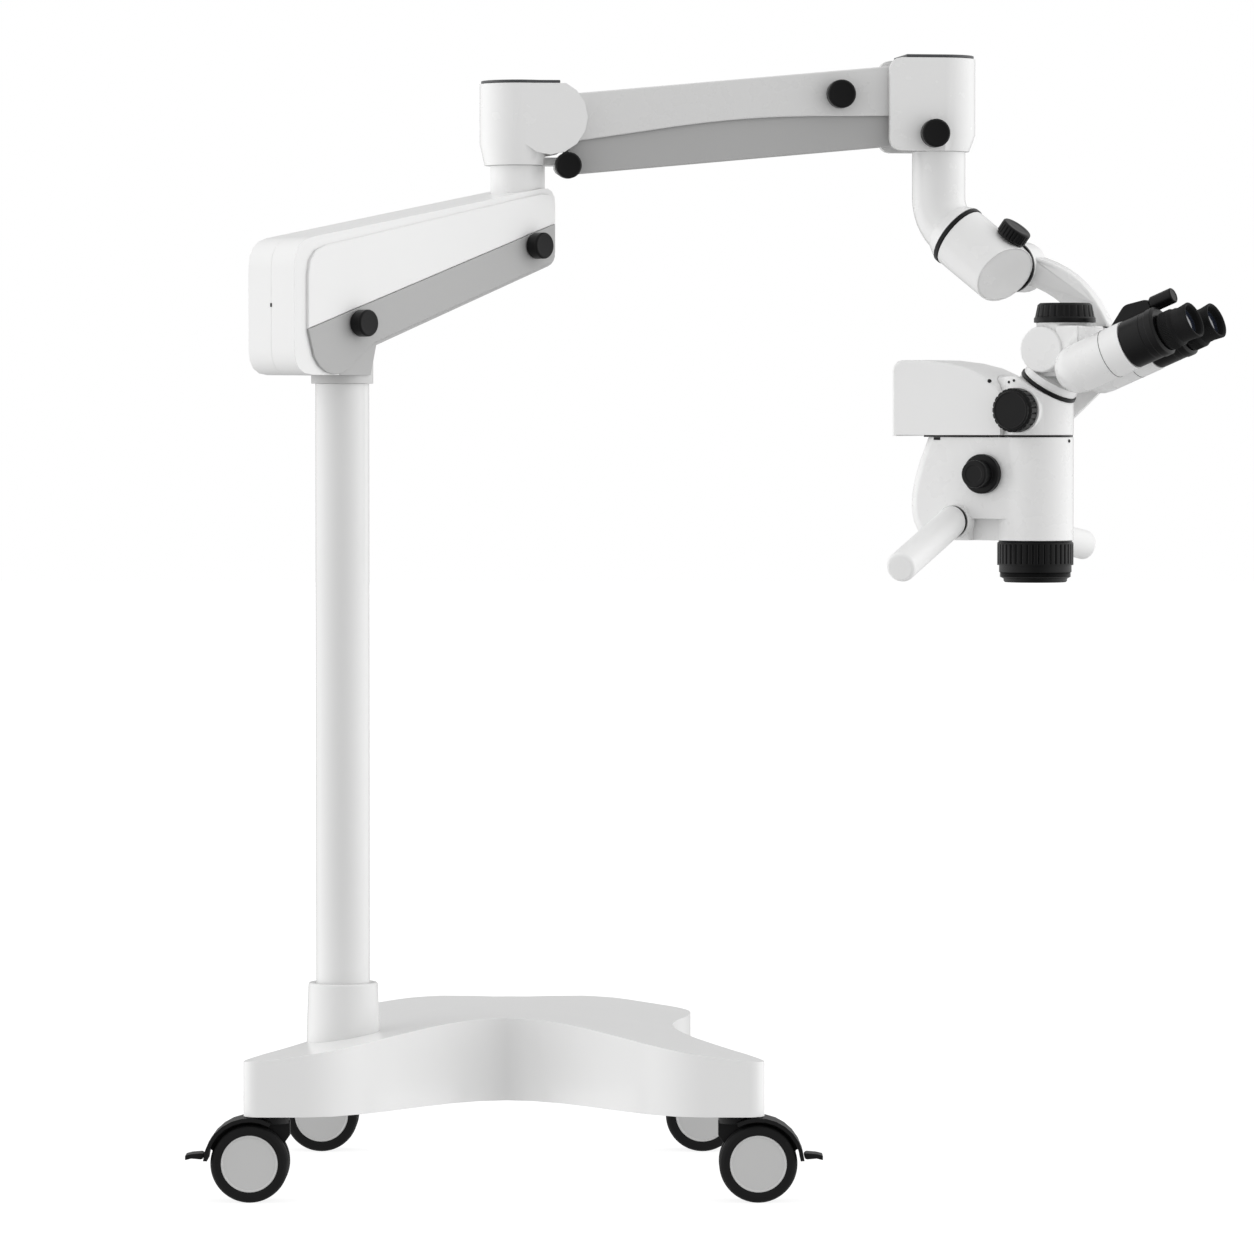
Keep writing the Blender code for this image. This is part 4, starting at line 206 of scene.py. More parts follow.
def skin_group():
    """Shared by paint and mouldings: faint colour drift, uneven gloss and a fine surface."""
    group = bpy.data.node_groups.new("surface skin", "ShaderNodeTree")
    for socket, kind in (("Colour", "NodeSocketColor"), ("Drift", "NodeSocketFloat"),
                         ("Roughness", "NodeSocketFloat"), ("Gloss Spread", "NodeSocketFloat"),
                         ("Grain Scale", "NodeSocketFloat"), ("Grain Height", "NodeSocketFloat")):
        group.interface.new_socket(name=socket, in_out="INPUT", socket_type=kind)
    for socket, kind in (("Colour", "NodeSocketColor"), ("Roughness", "NodeSocketFloat"),
                         ("Height", "NodeSocketFloat")):
        group.interface.new_socket(name=socket, in_out="OUTPUT", socket_type=kind)
    given = group.nodes.new("NodeGroupInput").outputs
    result = group.nodes.new("NodeGroupOutput").inputs
    where = group.nodes.new("ShaderNodeTexCoord")
    swing = uneven(group, where, DRIFT_SCALE, DRIFT_DETAIL)
    tint = group.nodes.new("ShaderNodeVectorMath")
    tint.operation = "SCALE"
    group.links.new(given["Colour"], tint.inputs[0])
    group.links.new(sum_node(group, "MULTIPLY_ADD", swing, given["Drift"], 1.0),
                    tint.inputs["Scale"])
    group.links.new(tint.outputs["Vector"], result["Colour"])
    patches = uneven(group, where, GLOSS_SCALE, GLOSS_DETAIL)
    group.links.new(sum_node(group, "MULTIPLY_ADD", patches, given["Gloss Spread"],
                             given["Roughness"]), result["Roughness"])
    grain = group.nodes.new("ShaderNodeTexNoise")
    grain.inputs["Detail"].default_value = GRAIN_DETAIL
    group.links.new(where.outputs["Object"], grain.inputs["Vector"])
    group.links.new(given["Grain Scale"], grain.inputs["Scale"])
    group.links.new(sum_node(group, "MULTIPLY", grain.outputs["Fac"], given["Grain Height"]),
                    result["Height"])
    return group


SKIN = skin_group()


def finish(name, colour, roughness, drift=0.02, spread=0.02, grain=900.0, height=0.05,
           coat=0.0, metallic=0.0, mirror=0.5):
    """A material whose colour, gloss and fine surface come from the shared skin."""
    made = bpy.data.materials.new(name)
    made.use_nodes = True
    tree = made.node_tree
    shader = tree.nodes["Principled BSDF"]
    skin = tree.nodes.new("ShaderNodeGroup")
    skin.node_tree = SKIN
    for socket, value in (("Colour", (*colour, 1.0)), ("Drift", drift), ("Roughness", roughness),
                          ("Gloss Spread", spread), ("Grain Scale", grain),
                          ("Grain Height", height)):
        skin.inputs[socket].default_value = value
    bump = tree.nodes.new("ShaderNodeBump")
    bump.inputs["Distance"].default_value = GRAIN_DEPTH
    tree.links.new(skin.outputs["Height"], bump.inputs["Height"])
    tree.links.new(skin.outputs["Colour"], shader.inputs["Base Color"])
    tree.links.new(skin.outputs["Roughness"], shader.inputs["Roughness"])
    tree.links.new(bump.outputs["Normal"], shader.inputs["Normal"])
    shader.inputs["Metallic"].default_value = metallic
    shader.inputs["Specular IOR Level"].default_value = mirror
    shader.inputs["Coat Weight"].default_value = coat
    shader.inputs["Coat Roughness"].default_value = COAT_ROUGHNESS
    return made


def enamel(name, colour, roughness, coat, drift=0.008):
    """Stoved enamel: almost even, with a thin gloss over it."""
    return finish(name, colour, roughness, drift=drift, grain=520.0, height=0.004, coat=coat)


def fit(piece, material, body, slot, *nodes):
    """Gives a piece its finish, its body and the nodes that it stands for."""
    piece.data.materials.clear()
    piece.data.materials.append(material)
    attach(piece, body)
    if nodes:
        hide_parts(*nodes)
    return piece


def eased(build, width, crease, test, segments=2):
    """Rounds the outer edges that are sharper than the crease and pass the test."""
    hard = [e for e in build.edges if e.is_manifold and e.is_convex
            and e.calc_face_angle(0.0) > math.radians(crease) and test(e)]
    bmesh.ops.bevel(build, geom=hard, offset=width, segments=segments, affect="EDGES",
                    profile=0.5, material=-1, clamp_overlap=True)


def dressed(node, material, body, slot, edge=0.0, sharp=35, crease=50, segments=2,
            test=lambda e: True, after=None):
    """A smooth copy of a solid in its finish: flats made whole again and hard edges eased."""
    build = bmesh.new()
    build.from_mesh(frame["nodes"][node].data)
    bmesh.ops.remove_doubles(build, verts=build.verts, dist=SPLIT_POINT)
    bmesh.ops.dissolve_limit(build, angle_limit=FLAT_TURN, verts=build.verts, edges=build.edges)
    if edge > 0.0:
        eased(build, edge, crease, test, segments)
    if after:
        after(build)
    return fit(to_object(node + "_finished", build, sharp), material, body, slot, node)


base_enamel = enamel("base enamel", ENAMEL_WHITE, roughness=0.30, coat=0.25, drift=0.010)
dressed("base_casting", base_enamel, "stand", "base_paint", edge=0.0035, sharp=45, crease=55,
        segments=3)


# Casters
# Swivel casters: a black nylon hood curves over a rubber-tyred twin wheel, with a light grey disc
# pressed into each face. The near pair has a foot brake hinged on the hood's end.

RUBBER_BLACK = (0.0060, 0.0060, 0.0063)
DISC_GREY = (0.585, 0.585, 0.582)
WHEEL_RADIUS = 0.050
WHEEL_HALF = 0.025
WHEEL_GAP_HALF = 0.0065
HUB_RADIUS = 0.018
TREAD_EDGE = 0.002
TYRE_SHOULDER = 0.0065
TYRE_DROP = 0.0015
DISC_RADIUS = 0.0365
DISC_PLAY = 0.0001
DISC_POCKET = 0.0080
DISC_SINK = 0.0012
RIM_SINK = 0.0002
RIM_WIDTH = 0.0020

tyre_rubber = finish("tyre rubber", RUBBER_BLACK, roughness=0.62, drift=0.10, spread=0.10,
                     grain=700.0, height=0.12, mirror=0.20)
disc_plastic = finish("hub disc plastic", DISC_GREY, roughness=0.34, drift=0.015, grain=800.0,
                      height=0.02)
hood_nylon = finish("hood nylon", RUBBER_BLACK, roughness=0.42, drift=0.06, grain=1500.0,
                    height=0.09, mirror=0.22)


def joint(name):
    """A joint's place and axis, as the frame gives them."""
    found = next(j for j in frame["joints"] if j["name"] == name)
    return Vector(found["pos_m"]), Vector(found["axis"]).normalized()


def along(place, axis):
    """The placing of a form that was spun about Z: its Z goes along the axis."""
    return Matrix.Translation(place) @ Vector(axis).to_track_quat("Z", "Y").to_matrix().to_4x4()


def rounded(outline, radius, rounds=3):
    """Eases each corner of a profile with a short arc, so that edges catch the light."""
    points = [Vector(p) for p in outline]
    made = [tuple(points[0])]
    for before, here, after in zip(points, points[1:], points[2:]):
        into, out = before - here, after - here
        reach = min(radius, into.length * 0.45, out.length * 0.45)
        start, end = here + into.normalized() * reach, here + out.normalized() * reach
        for i in range(rounds + 1):
            t = i / rounds
            made.append(tuple(start.lerp(here, t).lerp(here.lerp(end, t), t)))
    return made + [tuple(points[-1])]


def turned_piece(name, outline, place, edge, steps=ROUND_STEPS):
    """A lathe-turned piece, its corners eased where it has an edge width."""
    build = spun(rounded(outline, edge) if edge > 0.0 else outline, steps)
    bmesh.ops.transform(build, matrix=place, verts=build.verts)
    return to_object(name, build)


def wheel_outline():
    """Half of the twin wheel from its middle pocket out, then the same mirrored."""
    half = [(0.0, WHEEL_HALF - DISC_POCKET), (DISC_RADIUS, WHEEL_HALF - DISC_POCKET),
            (DISC_RADIUS, WHEEL_HALF - RIM_SINK), (WHEEL_RADIUS - TYRE_SHOULDER, WHEEL_HALF),
            (WHEEL_RADIUS - TYRE_SHOULDER * 0.35, WHEEL_HALF - TYRE_DROP),
            (WHEEL_RADIUS, WHEEL_HALF - TYRE_SHOULDER * 0.8),
            (WHEEL_RADIUS, WHEEL_GAP_HALF + TREAD_EDGE),
            (WHEEL_RADIUS - TREAD_EDGE, WHEEL_GAP_HALF), (HUB_RADIUS, WHEEL_GAP_HALF)]
    return half + [(radius, -height) for radius, height in reversed(half)]


def disc_outline():
    """A shallow dish with a thin raised rim."""
    outer = DISC_RADIUS - DISC_PLAY
    face = WHEEL_HALF - DISC_SINK
    rim = WHEEL_HALF - RIM_SINK
    back = WHEEL_HALF - DISC_POCKET + RIM_SINK
    return [(0.0, face), (DISC_RADIUS - RIM_WIDTH - 0.0010, face), (DISC_RADIUS - RIM_WIDTH, rim),
            (outer - 0.0005, rim), (outer, rim - 0.0008), (outer, back), (0.0, back)]


for corner in ("near_left", "near_right", "far_left", "far_right"):
    place = along(*joint("roll_" + corner))
    wheel_body = "caster_wheel_" + corner
    tyre = turned_piece("tyre_" + corner, wheel_outline(), place, edge=0.001)
    fit(tyre, tyre_rubber, wheel_body, "wheel_rubber", "wheel_" + corner)
    for side, turn in (("front", 0.0), ("back", math.pi)):
        disc = turned_piece("hub_disc_" + side + "_" + corner, disc_outline(),
                            place @ Matrix.Rotation(turn, 4, "X"), edge=0.0004)
        fit(disc, disc_plastic, wheel_body, "wheel_rubber")
    dressed("fork_" + corner, hood_nylon, "caster_" + corner, "black_plastic", edge=0.0012)
for corner in ("near_left", "near_right"):
    dressed("brake_pedal_" + corner, hood_nylon, "pedal_" + corner, "black_plastic", edge=0.0010)


# Column
# A plain drawn steel tube, enamelled white. It stands in a turned aluminium sleeve that widens
# slightly to its foot and is let into the casting.

# The column's white is set darker than the base's enamel: painted shade for the dimmer face the
# tube turns towards the camera. The sleeve shares it.
COLUMN_WHITE_WITH_PAINTED_SHADE = (0.78, 0.78, 0.777)
COLUMN_RADIUS = 0.035
COLUMN_WALL = 0.004
SLEEVE_PLAY = 0.0003
SLEEVE_TOP = 0.266
SLEEVE_FLARED = 0.200
SLEEVE_TOP_RADIUS = 0.0450
SLEEVE_FOOT_RADIUS = 0.0475

column_at = joint("column_swivel")[0]
column_place = Matrix.Translation((column_at.x, column_at.y, 0.0))
column_enamel_with_painted_shade = enamel("column enamel with painted shade", COLUMN_WHITE_WITH_PAINTED_SHADE, roughness=0.24, coat=0.35)


def washer(inner, outer, low, high):
    """The outline of a plain round band."""
    return [(inner, low), (inner, high), (outer, high), (outer, low), (inner, low)]


tube_low, tube_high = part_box("column_tube")
tube = turned_piece("column_tube_finished",
                    washer(COLUMN_RADIUS - COLUMN_WALL, COLUMN_RADIUS, tube_low.z, tube_high.z),
                    column_place, edge=0.0)
fit(tube, column_enamel_with_painted_shade, "stand", "column_paint", "column_tube")
sleeve_bore = COLUMN_RADIUS + SLEEVE_PLAY
sleeve_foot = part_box("column_sleeve")[0].z
sleeve = turned_piece("column_sleeve_finished",
                      [(sleeve_bore, sleeve_foot), (sleeve_bore, SLEEVE_TOP),
                       (SLEEVE_TOP_RADIUS, SLEEVE_TOP), (SLEEVE_FOOT_RADIUS, SLEEVE_FLARED),
                       (SLEEVE_FOOT_RADIUS, sleeve_foot), (sleeve_bore, sleeve_foot)],
                      column_place, edge=0.003)
fit(sleeve, column_enamel_with_painted_shade, "stand", "column_paint", "column_sleeve")


# Lower arm
# A cast frame turns on the column inside two moulded white covers that meet along the middle. A
# raised panel runs down each side: white above, grey below. Two black knobs clamp the swivels.

TRIM_GREY = (0.445, 0.445, 0.443)
COLLAR_GREY = (0.60, 0.60, 0.597)
KNOB_BLACK = (0.0045, 0.0045, 0.0048)
SEAM_DARK = (0.05, 0.05, 0.05)
SEAM_WIDTH = 0.0006
SEAM_CREASE = 60
TRIM_FOOT = 1.1050
TRIM_FORWARD = 0.014
TRIM_SLOPE = math.atan(0.3337)
BOSS_REAR = 0.047
POST_SPLIT = 1.290
REAR_FACE = 0.1260
LATCH_HEIGHT = 1.1456
LATCH_SIZE = Vector((0.0016, 0.0030, 0.0050))
CLAMP_LENGTH = 0.020
CLAMP_RADIUS = 0.0175
WIDE_CLAMP_RADIUS = 0.0190
FLUTE_STEPS = 12
FLUTED_FROM = 0.90

arm_way = joint("shoulder_swivel")[0] - column_at
arm_way.z = 0.0
arm_way.normalize()
arm_side = Vector((-arm_way.y, arm_way.x, 0.0))
arm_up = Vector((0.0, 0.0, 1.0))


def part_colour(material, colour, *planes):
    """Gives another colour to what lies below every one of the planes."""
    tree = material.node_tree
    skin = next(n for n in tree.nodes if n.bl_idname == "ShaderNodeGroup")
    where = tree.nodes.new("ShaderNodeTexCoord")
    inside = 1.0
    for place, normal in planes:
        height = tree.nodes.new("ShaderNodeVectorMath")
        height.operation = "DOT_PRODUCT"
        height.inputs[1].default_value = normal
        tree.links.new(where.outputs["Object"], height.inputs[0])
        below = sum_node(tree, "LESS_THAN", height.outputs["Value"], place.dot(normal))
        inside = sum_node(tree, "MULTIPLY", below, inside)
    mixed = tree.nodes.new("ShaderNodeMix")
    mixed.data_type = "RGBA"
    mixed.inputs["A"].default_value = skin.inputs["Colour"].default_value
    mixed.inputs["B"].default_value = (*colour, 1.0)
    tree.links.new(inside, mixed.inputs["Factor"])
    tree.links.new(mixed.outputs["Result"], skin.inputs["Colour"])


def cover_moulding(name):
    """A white moulded cover: a little duller than the enamel."""
    return finish(name, ENAMEL_WHITE, roughness=0.34, drift=0.010, grain=700.0, height=0.006,
                  coat=0.15)


cover_plastic = cover_moulding("cover plastic")
trim_plastic = finish("trim plastic", TRIM_GREY, roughness=0.42, drift=0.012, grain=1100.0,
                      height=0.04)
frame_casting = finish("frame casting", COLLAR_GREY, roughness=0.36, drift=0.015, grain=700.0,
                       height=0.02)
seam_dark = finish("seam shadow", SEAM_DARK, roughness=0.8, drift=0.1)
knob_plastic = finish("knob plastic", KNOB_BLACK, roughness=0.34, drift=0.05, grain=1600.0,
                      height=0.08, mirror=0.18)
trim_normal = arm_up * math.cos(TRIM_SLOPE) - arm_way * math.sin(TRIM_SLOPE)
trim_place = column_at + arm_way * TRIM_FORWARD
trim_place.z = TRIM_FOOT
part_colour(cover_plastic, TRIM_GREY, (trim_place, trim_normal),
            (column_at - arm_way * BOSS_REAR, -arm_way))
part_colour(frame_casting, ENAMEL_WHITE, (arm_up * POST_SPLIT, -arm_up))


def off_seam(edge):
    """True for an edge that isn't on the plane where the two covers meet."""
    return min(abs((v.co - column_at).dot(arm_side)) for v in edge.verts) > SEAM_WIDTH


def open_seam(build):
    """Leaves a fine groove where the two covers meet."""
    eased(build, SEAM_WIDTH, SEAM_CREASE, lambda edge: not off_seam(edge), segments=1)


def slab(name, low, high, space, edge):
    """A plate between two corners, its edges eased."""
    build = bmesh.new()
    bmesh.ops.create_cube(build, size=1.0)
    bmesh.ops.scale(build, vec=high - low, verts=build.verts)
    bmesh.ops.bevel(build, geom=build.edges, offset=edge, segments=2, affect="EDGES",
                    profile=0.5, material=-1)
    middle = Matrix.Translation((high + low) / 2)
    bmesh.ops.transform(build, matrix=space @ middle, verts=build.verts)
    return to_object(name, build)


for side in ("near", "far"):
    dressed("arm_cover_" + side, cover_plastic, "lower_arm", "cover_white", edge=0.0050,
            sharp=50, crease=SEAM_CREASE, segments=3, test=off_seam, after=open_seam)
    dressed("arm_trim_" + side, trim_plastic, "lower_arm", "grey_trim", edge=0.0010, crease=60)
dressed("lower_arm_frame", frame_casting, "lower_arm", "frame_grey", edge=0.0006)
latch_at = column_at - arm_way * REAR_FACE
latch_at.z = LATCH_HEIGHT
arm_turn = Matrix.Rotation(math.atan2(arm_way.y, arm_way.x), 4, "Z")
latch = slab("arm_latch", -LATCH_SIZE / 2, LATCH_SIZE / 2, Matrix.Translation(latch_at) @ arm_turn,
             edge=0.0004)
fit(latch, seam_dark, "lower_arm", "black_plastic")


def fluted(build, low, high, radius, count, depth, width=1.0):
    """Presses grip flutes into a spun rim between two heights, before it is placed."""
    for vertex in build.verts:
        x, y, z = vertex.co
        out = math.hypot(x, y)
        phase = (count * math.atan2(y, x) / math.tau) % 1.0 - 0.5
        if low <= z <= high and out > radius * FLUTED_FROM and abs(phase) < width / 2:
            wave = 0.5 + 0.5 * math.cos(math.tau * phase / width)
            share = (out - depth * wave) / out
            vertex.co.x, vertex.co.y = x * share, y * share


def knob(name, outline, place, edge=0.0008, ribs=0, low=0.0, high=0.0, depth=0.0, width=1.0):
    """A moulded knob, with grip flutes where it has them."""
    build = spun(rounded(outline, edge), max(ROUND_STEPS, ribs * FLUTE_STEPS))
    if ribs:
        radius = max(math.hypot(v.co.x, v.co.y) for v in build.verts)
        fluted(build, low, high, radius, ribs, depth, width)
    bmesh.ops.transform(build, matrix=place, verts=build.verts)
    return to_object(name, build)


def clamp_knob(body, radius):
    """A plain clamp knob: a shallow dished face, a soft rim and a narrow collar behind."""
    node = body + "_knob"
    at, inwards = joint(body + "_turn")
    back = max((v.co - at).dot(inwards) for v in frame["nodes"][node].data.vertices)
    collar = radius - 0.0015
    outline = [(0.0, CLAMP_LENGTH - 0.0008), (radius * 0.62, CLAMP_LENGTH - 0.0004),
               (radius - 0.002, CLAMP_LENGTH), (radius, CLAMP_LENGTH - 0.002), (radius, 0.003),
               (collar, 0.0018), (collar, 0.0), (0.0, 0.0)]
    piece = knob(node + "_finished", outline, along(at + inwards * back, -inwards))
    fit(piece, knob_plastic, body, "black_plastic", node)


clamp_knob("column_brake", CLAMP_RADIUS)
clamp_knob("shoulder_brake", CLAMP_RADIUS)


# Shoulder and front housing
# Turned aluminium housings at the two ends of the sprung arm, enamelled white, each closed by a
# thin dark lid. Ground steel pins cross their forks, and black knobs clamp the joints.

LID_GREY = (0.060, 0.062, 0.066)
STEEL = (0.50, 0.51, 0.52)

housing_enamel = enamel("housing enamel", ENAMEL_WHITE, roughness=0.26, coat=0.30)
lid_plastic = finish("lid plastic", LID_GREY, roughness=0.40, drift=0.04, grain=1300.0,
                     height=0.06)
ground_steel = finish("ground steel", STEEL, roughness=0.24, drift=0.03, grain=600.0,
                      height=0.04, metallic=1.0)

for body in ("shoulder", "front"):
    dressed(body + "_housing", housing_enamel, body, "arm_paint", edge=0.0016, sharp=42)
    dressed(body + "_cap", lid_plastic, body, "black_plastic", edge=0.0010)
    for pin in ("_upper_pin", "_lower_pin"):
        dressed(body + pin, ground_steel, body, "pin_steel", edge=0.0005)
clamp_knob("lift_lock", CLAMP_RADIUS)
clamp_knob("front_brake", WIDE_CLAMP_RADIUS)


# Sprung arm
# Two channels that stay parallel: a white pressed one above and a grey one nested below it. A
# gas spring lies inside, and the knob on the upper channel sets its force.

CHANNEL_WHITE = (0.75, 0.75, 0.747)
CHANNEL_GREY = (0.45, 0.45, 0.448)
SPRING_BLACK = (0.010, 0.010, 0.011)

channel_enamel = enamel("channel enamel", CHANNEL_WHITE, roughness=0.28, coat=0.25)
channel_grey = finish("channel grey", CHANNEL_GREY, roughness=0.38, drift=0.012, grain=900.0,
                      height=0.03)
cylinder_black = finish("spring cylinder paint", SPRING_BLACK, roughness=0.30, drift=0.05,
                        grain=600.0, height=0.05, coat=0.2)

dressed("upper_link", channel_enamel, "upper_arm", "arm_paint", edge=0.0010, crease=60)
dressed("lower_link", channel_grey, "lower_parallel_link", "grey_trim", edge=0.0010, crease=60)
dressed("gas_spring_cylinder", cylinder_black, "upper_arm", "black_metal", edge=0.0005)
dressed("gas_spring_rod", ground_steel, "upper_arm", "pin_steel", edge=0.0004)
clamp_knob("spring_adjust", WIDE_CLAMP_RADIUS)


# Elbow, inclined swivel and yoke
# A bent white tube hangs from the front housing. A black ring parts it from the inclined housing,
# whose slanted end has a turned lid. The curved yoke swings on that housing's far side.

ELBOW_RING_BORE = 0.0206
ELBOW_RING_RADIUS = 0.0440
ELBOW_RING_LENGTH = 0.006
RING_PLAY = 0.0003
LID_INSET = 0.0008
LID_GROOVE = 0.0012
LID_GROOVE_DEPTH = 0.0009

ring_black = finish("ring black", KNOB_BLACK, roughness=0.30, drift=0.04, grain=900.0,
                    height=0.06, mirror=0.22)
incline_at, incline_axis = joint("inclined_swivel")


def groove_lid(build):
    """Cuts a fine groove inside the rim of the slanted end, which shows as a lid."""
    build.faces.ensure_lookup_table()
    end = max(build.faces, key=lambda f: f.calc_area() * (f.normal.dot(incline_axis) > 0.5))
    for thickness, sink in ((LID_INSET, 0.0), (LID_GROOVE / 2, -LID_GROOVE_DEPTH),
                            (LID_GROOVE / 2, LID_GROOVE_DEPTH)):
        bmesh.ops.inset_region(build, faces=[end], thickness=thickness, depth=sink)


dressed("elbow_tube", housing_enamel, "elbow", "arm_paint")
elbow_ring = turned_piece("elbow_ring", washer(ELBOW_RING_BORE, ELBOW_RING_RADIUS, RING_PLAY,
                                               ELBOW_RING_LENGTH - RING_PLAY),
                          along(incline_at, incline_axis), edge=0.0006)
fit(elbow_ring, ring_black, "elbow", "black_metal")
dressed("roll_housing", housing_enamel, "roll_block", "arm_paint", edge=0.0030, sharp=30,
        after=groove_lid)
dressed("yoke_arm", housing_enamel, "yoke", "arm_paint", edge=0.0012)
dressed("head_carrier", housing_enamel, "head", "arm_paint", edge=0.0012)


# Microscope head
# Two enamelled castings stacked on the optical axis and parted by a thin black plate, with the
# moulded light housing behind, held by small black screws. The upper casting carries the zoom
# optics and the lower one the focusing optics.

PARTING_LOW = 0.9753
PARTING_HIGH = 0.9777
PARTING_RADIUS = 0.0500
REGISTER_RADIUS = 0.0462
PLATE_BACK = -0.1445
PLATE_HALF = 0.0460
BRACKET_LOW = Vector((-0.1290, -0.0475, 0.9712))
BRACKET_HIGH = Vector((-0.1190, -0.0462, 0.9752))
SCREW_PROUD = 0.45
SCREW_SOCKET = 0.45
SCREW_STEPS = 32
HEAD_SCREWS = (("housing_screw", (0.3685, 0.0643, 1.0500), (0.288, -0.608, 0.740), 0.0028),
               ("body_screw_rear", (0.3939, 0.0552, 1.0486), (-0.758, -0.652, 0.0), 0.0018),
               ("body_screw_front", (0.4002, 0.0492, 1.0506), (-0.594, -0.805, 0.0), 0.0018),
               ("seat_screw", (0.4745, 0.0616, 0.9700), (0.805, -0.594, 0.0), 0.0022))

optical_at = joint("objective_focus")[0]
far_side = joint("head_tilt")[1]
near_side = -far_side
head_space = Matrix.Translation((optical_at.x, optical_at.y, 0.0)) @ Matrix.Rotation(
    math.atan2(-far_side.x, far_side.y), 4, "Z")
into_head = head_space.inverted()
toward_far = Matrix.Rotation(-math.pi / 2, 4, "X")
toward_near = Matrix.Rotation(math.pi / 2, 4, "X")

head_enamel = enamel("head enamel", ENAMEL_WHITE, roughness=0.28, coat=0.25)
lamp_plastic = cover_moulding("lamp cover plastic")


def screw(name, place, out, radius):
    """A small black socket-head screw whose head stands a little proud."""
    proud = radius * SCREW_PROUD
    socket = radius * SCREW_SOCKET
    outline = [(0.0, proud * 0.3), (socket, proud * 0.3), (socket, proud), (radius, proud),
               (radius, -proud), (0.0, -proud)]
    piece = turned_piece(name, outline, along(place, out), edge=radius * 0.12, steps=SCREW_STEPS)
    fit(piece, ring_black, "head", "black_metal")


dressed("lower_body", head_enamel, "head", "arm_paint", edge=0.0010, sharp=40)
dressed("upper_body", head_enamel, "head", "arm_paint", edge=0.0010, sharp=40)
dressed("light_housing", lamp_plastic, "head", "cover_white", edge=0.0022, sharp=40, segments=3)
parting = turned_piece("parting_ring",
                       washer(REGISTER_RADIUS, PARTING_RADIUS, PARTING_LOW, PARTING_HIGH),
                       head_space, edge=0.0)
fit(parting, ring_black, "head", "black_plastic")
plate = slab("parting_plate", Vector((PLATE_BACK, -PLATE_HALF, PARTING_LOW)),
             Vector((-REGISTER_RADIUS, PLATE_HALF, PARTING_HIGH)), head_space, edge=0.0003)
fit(plate, ring_black, "head", "black_plastic")
for name, place, out, radius in HEAD_SCREWS:
    screw(name, place, out, radius)
bracket = slab("housing_bracket", BRACKET_LOW, BRACKET_HIGH, head_space, edge=0.0003)
fit(bracket, ring_black, "head", "black_metal")


# Objective
# A black anodised focusing ring with straight grip flutes round its upper band, and below them a
# short thread and a stepped mouth, round a coated lens set a little above the mouth.

ANODISED_BLACK = (0.0040, 0.0040, 0.0043)
COATING_BLUE = (0.012, 0.016, 0.030)
RING_TOP = 0.8367
KNURL_LOW = 0.8040
RING_BOTTOM = 0.7810
KNURL_RADIUS = 0.0510
KNURL_TOP_RADIUS = 0.0490
KNURL_COUNT = 40
KNURL_DEPTH = 0.0016
KNURL_WIDTH = 0.45
BAND_RADIUS = 0.0485
THREAD_TOP = 0.7945
THREAD_RADIUS = 0.0478
THREAD_DEPTH = 0.0010
THREAD_PITCH = 0.0016
THREAD_TURNS = 4
MOUTH_TOP = 0.7862
MOUTH_RADIUS = 0.0425
LENS_RADIUS = 0.0360
LENS_TOP = 0.7990
LENS_CROWN = 0.0025
LENS_EDGE = 0.005
LENS_STEPS = 12
LENS_BORE = 0.0340
LENS_PLAY = 0.0003

anodised = finish("anodised black", ANODISED_BLACK, roughness=0.30, drift=0.05, grain=1200.0,
                  height=0.10, mirror=0.18)
lens_coating = finish("lens coating", COATING_BLUE, roughness=0.04, drift=0.2, spread=0.0,
                      grain=300.0, height=0.0, coat=1.0)


def objective_outline():
    """Down the outside over flutes, thread and mouth, and up again inside round the lens."""
    outline = [(LENS_BORE, RING_TOP), (KNURL_TOP_RADIUS, RING_TOP),
               (KNURL_TOP_RADIUS, RING_TOP - 0.0014), (KNURL_RADIUS, RING_TOP - 0.0030),
               (KNURL_RADIUS, RING_TOP - 0.0046), (KNURL_RADIUS, RING_TOP - 0.0050),
               (KNURL_RADIUS, KNURL_LOW + 0.0024), (KNURL_RADIUS, KNURL_LOW + 0.0020),
               (KNURL_RADIUS, KNURL_LOW), (BAND_RADIUS, KNURL_LOW), (BAND_RADIUS, THREAD_TOP)]
    for turn in range(THREAD_TURNS):
        crest = THREAD_TOP - turn * THREAD_PITCH
        outline += [(THREAD_RADIUS - THREAD_DEPTH, crest - 0.0003),
                    (THREAD_RADIUS, crest - 0.0012)]
    seat_radius = LENS_RADIUS + LENS_PLAY
    shelf = LENS_TOP + 0.001
    return outline + [(MOUTH_RADIUS + 0.0008, MOUTH_TOP), (MOUTH_RADIUS, MOUTH_TOP - 0.0010),
                      (MOUTH_RADIUS, RING_BOTTOM + 0.0020), (MOUTH_RADIUS - 0.0018, RING_BOTTOM),
                      (seat_radius + 0.0009, RING_BOTTOM), (seat_radius, RING_BOTTOM + 0.003),
                      (seat_radius, shelf), (LENS_BORE, shelf), (LENS_BORE, RING_TOP)]


def lens_outline():
    """A lens that bulges alike on both faces round a cylindrical edge."""
    upper = []
    for i in range(LENS_STEPS + 1):
        share = i / LENS_STEPS
        upper.append((LENS_RADIUS * share, LENS_TOP - LENS_CROWN * share ** 2))
    both_faces = 2 * (LENS_TOP - LENS_CROWN) - LENS_EDGE
    return upper + [(radius, both_faces - height) for radius, height in reversed(upper)]


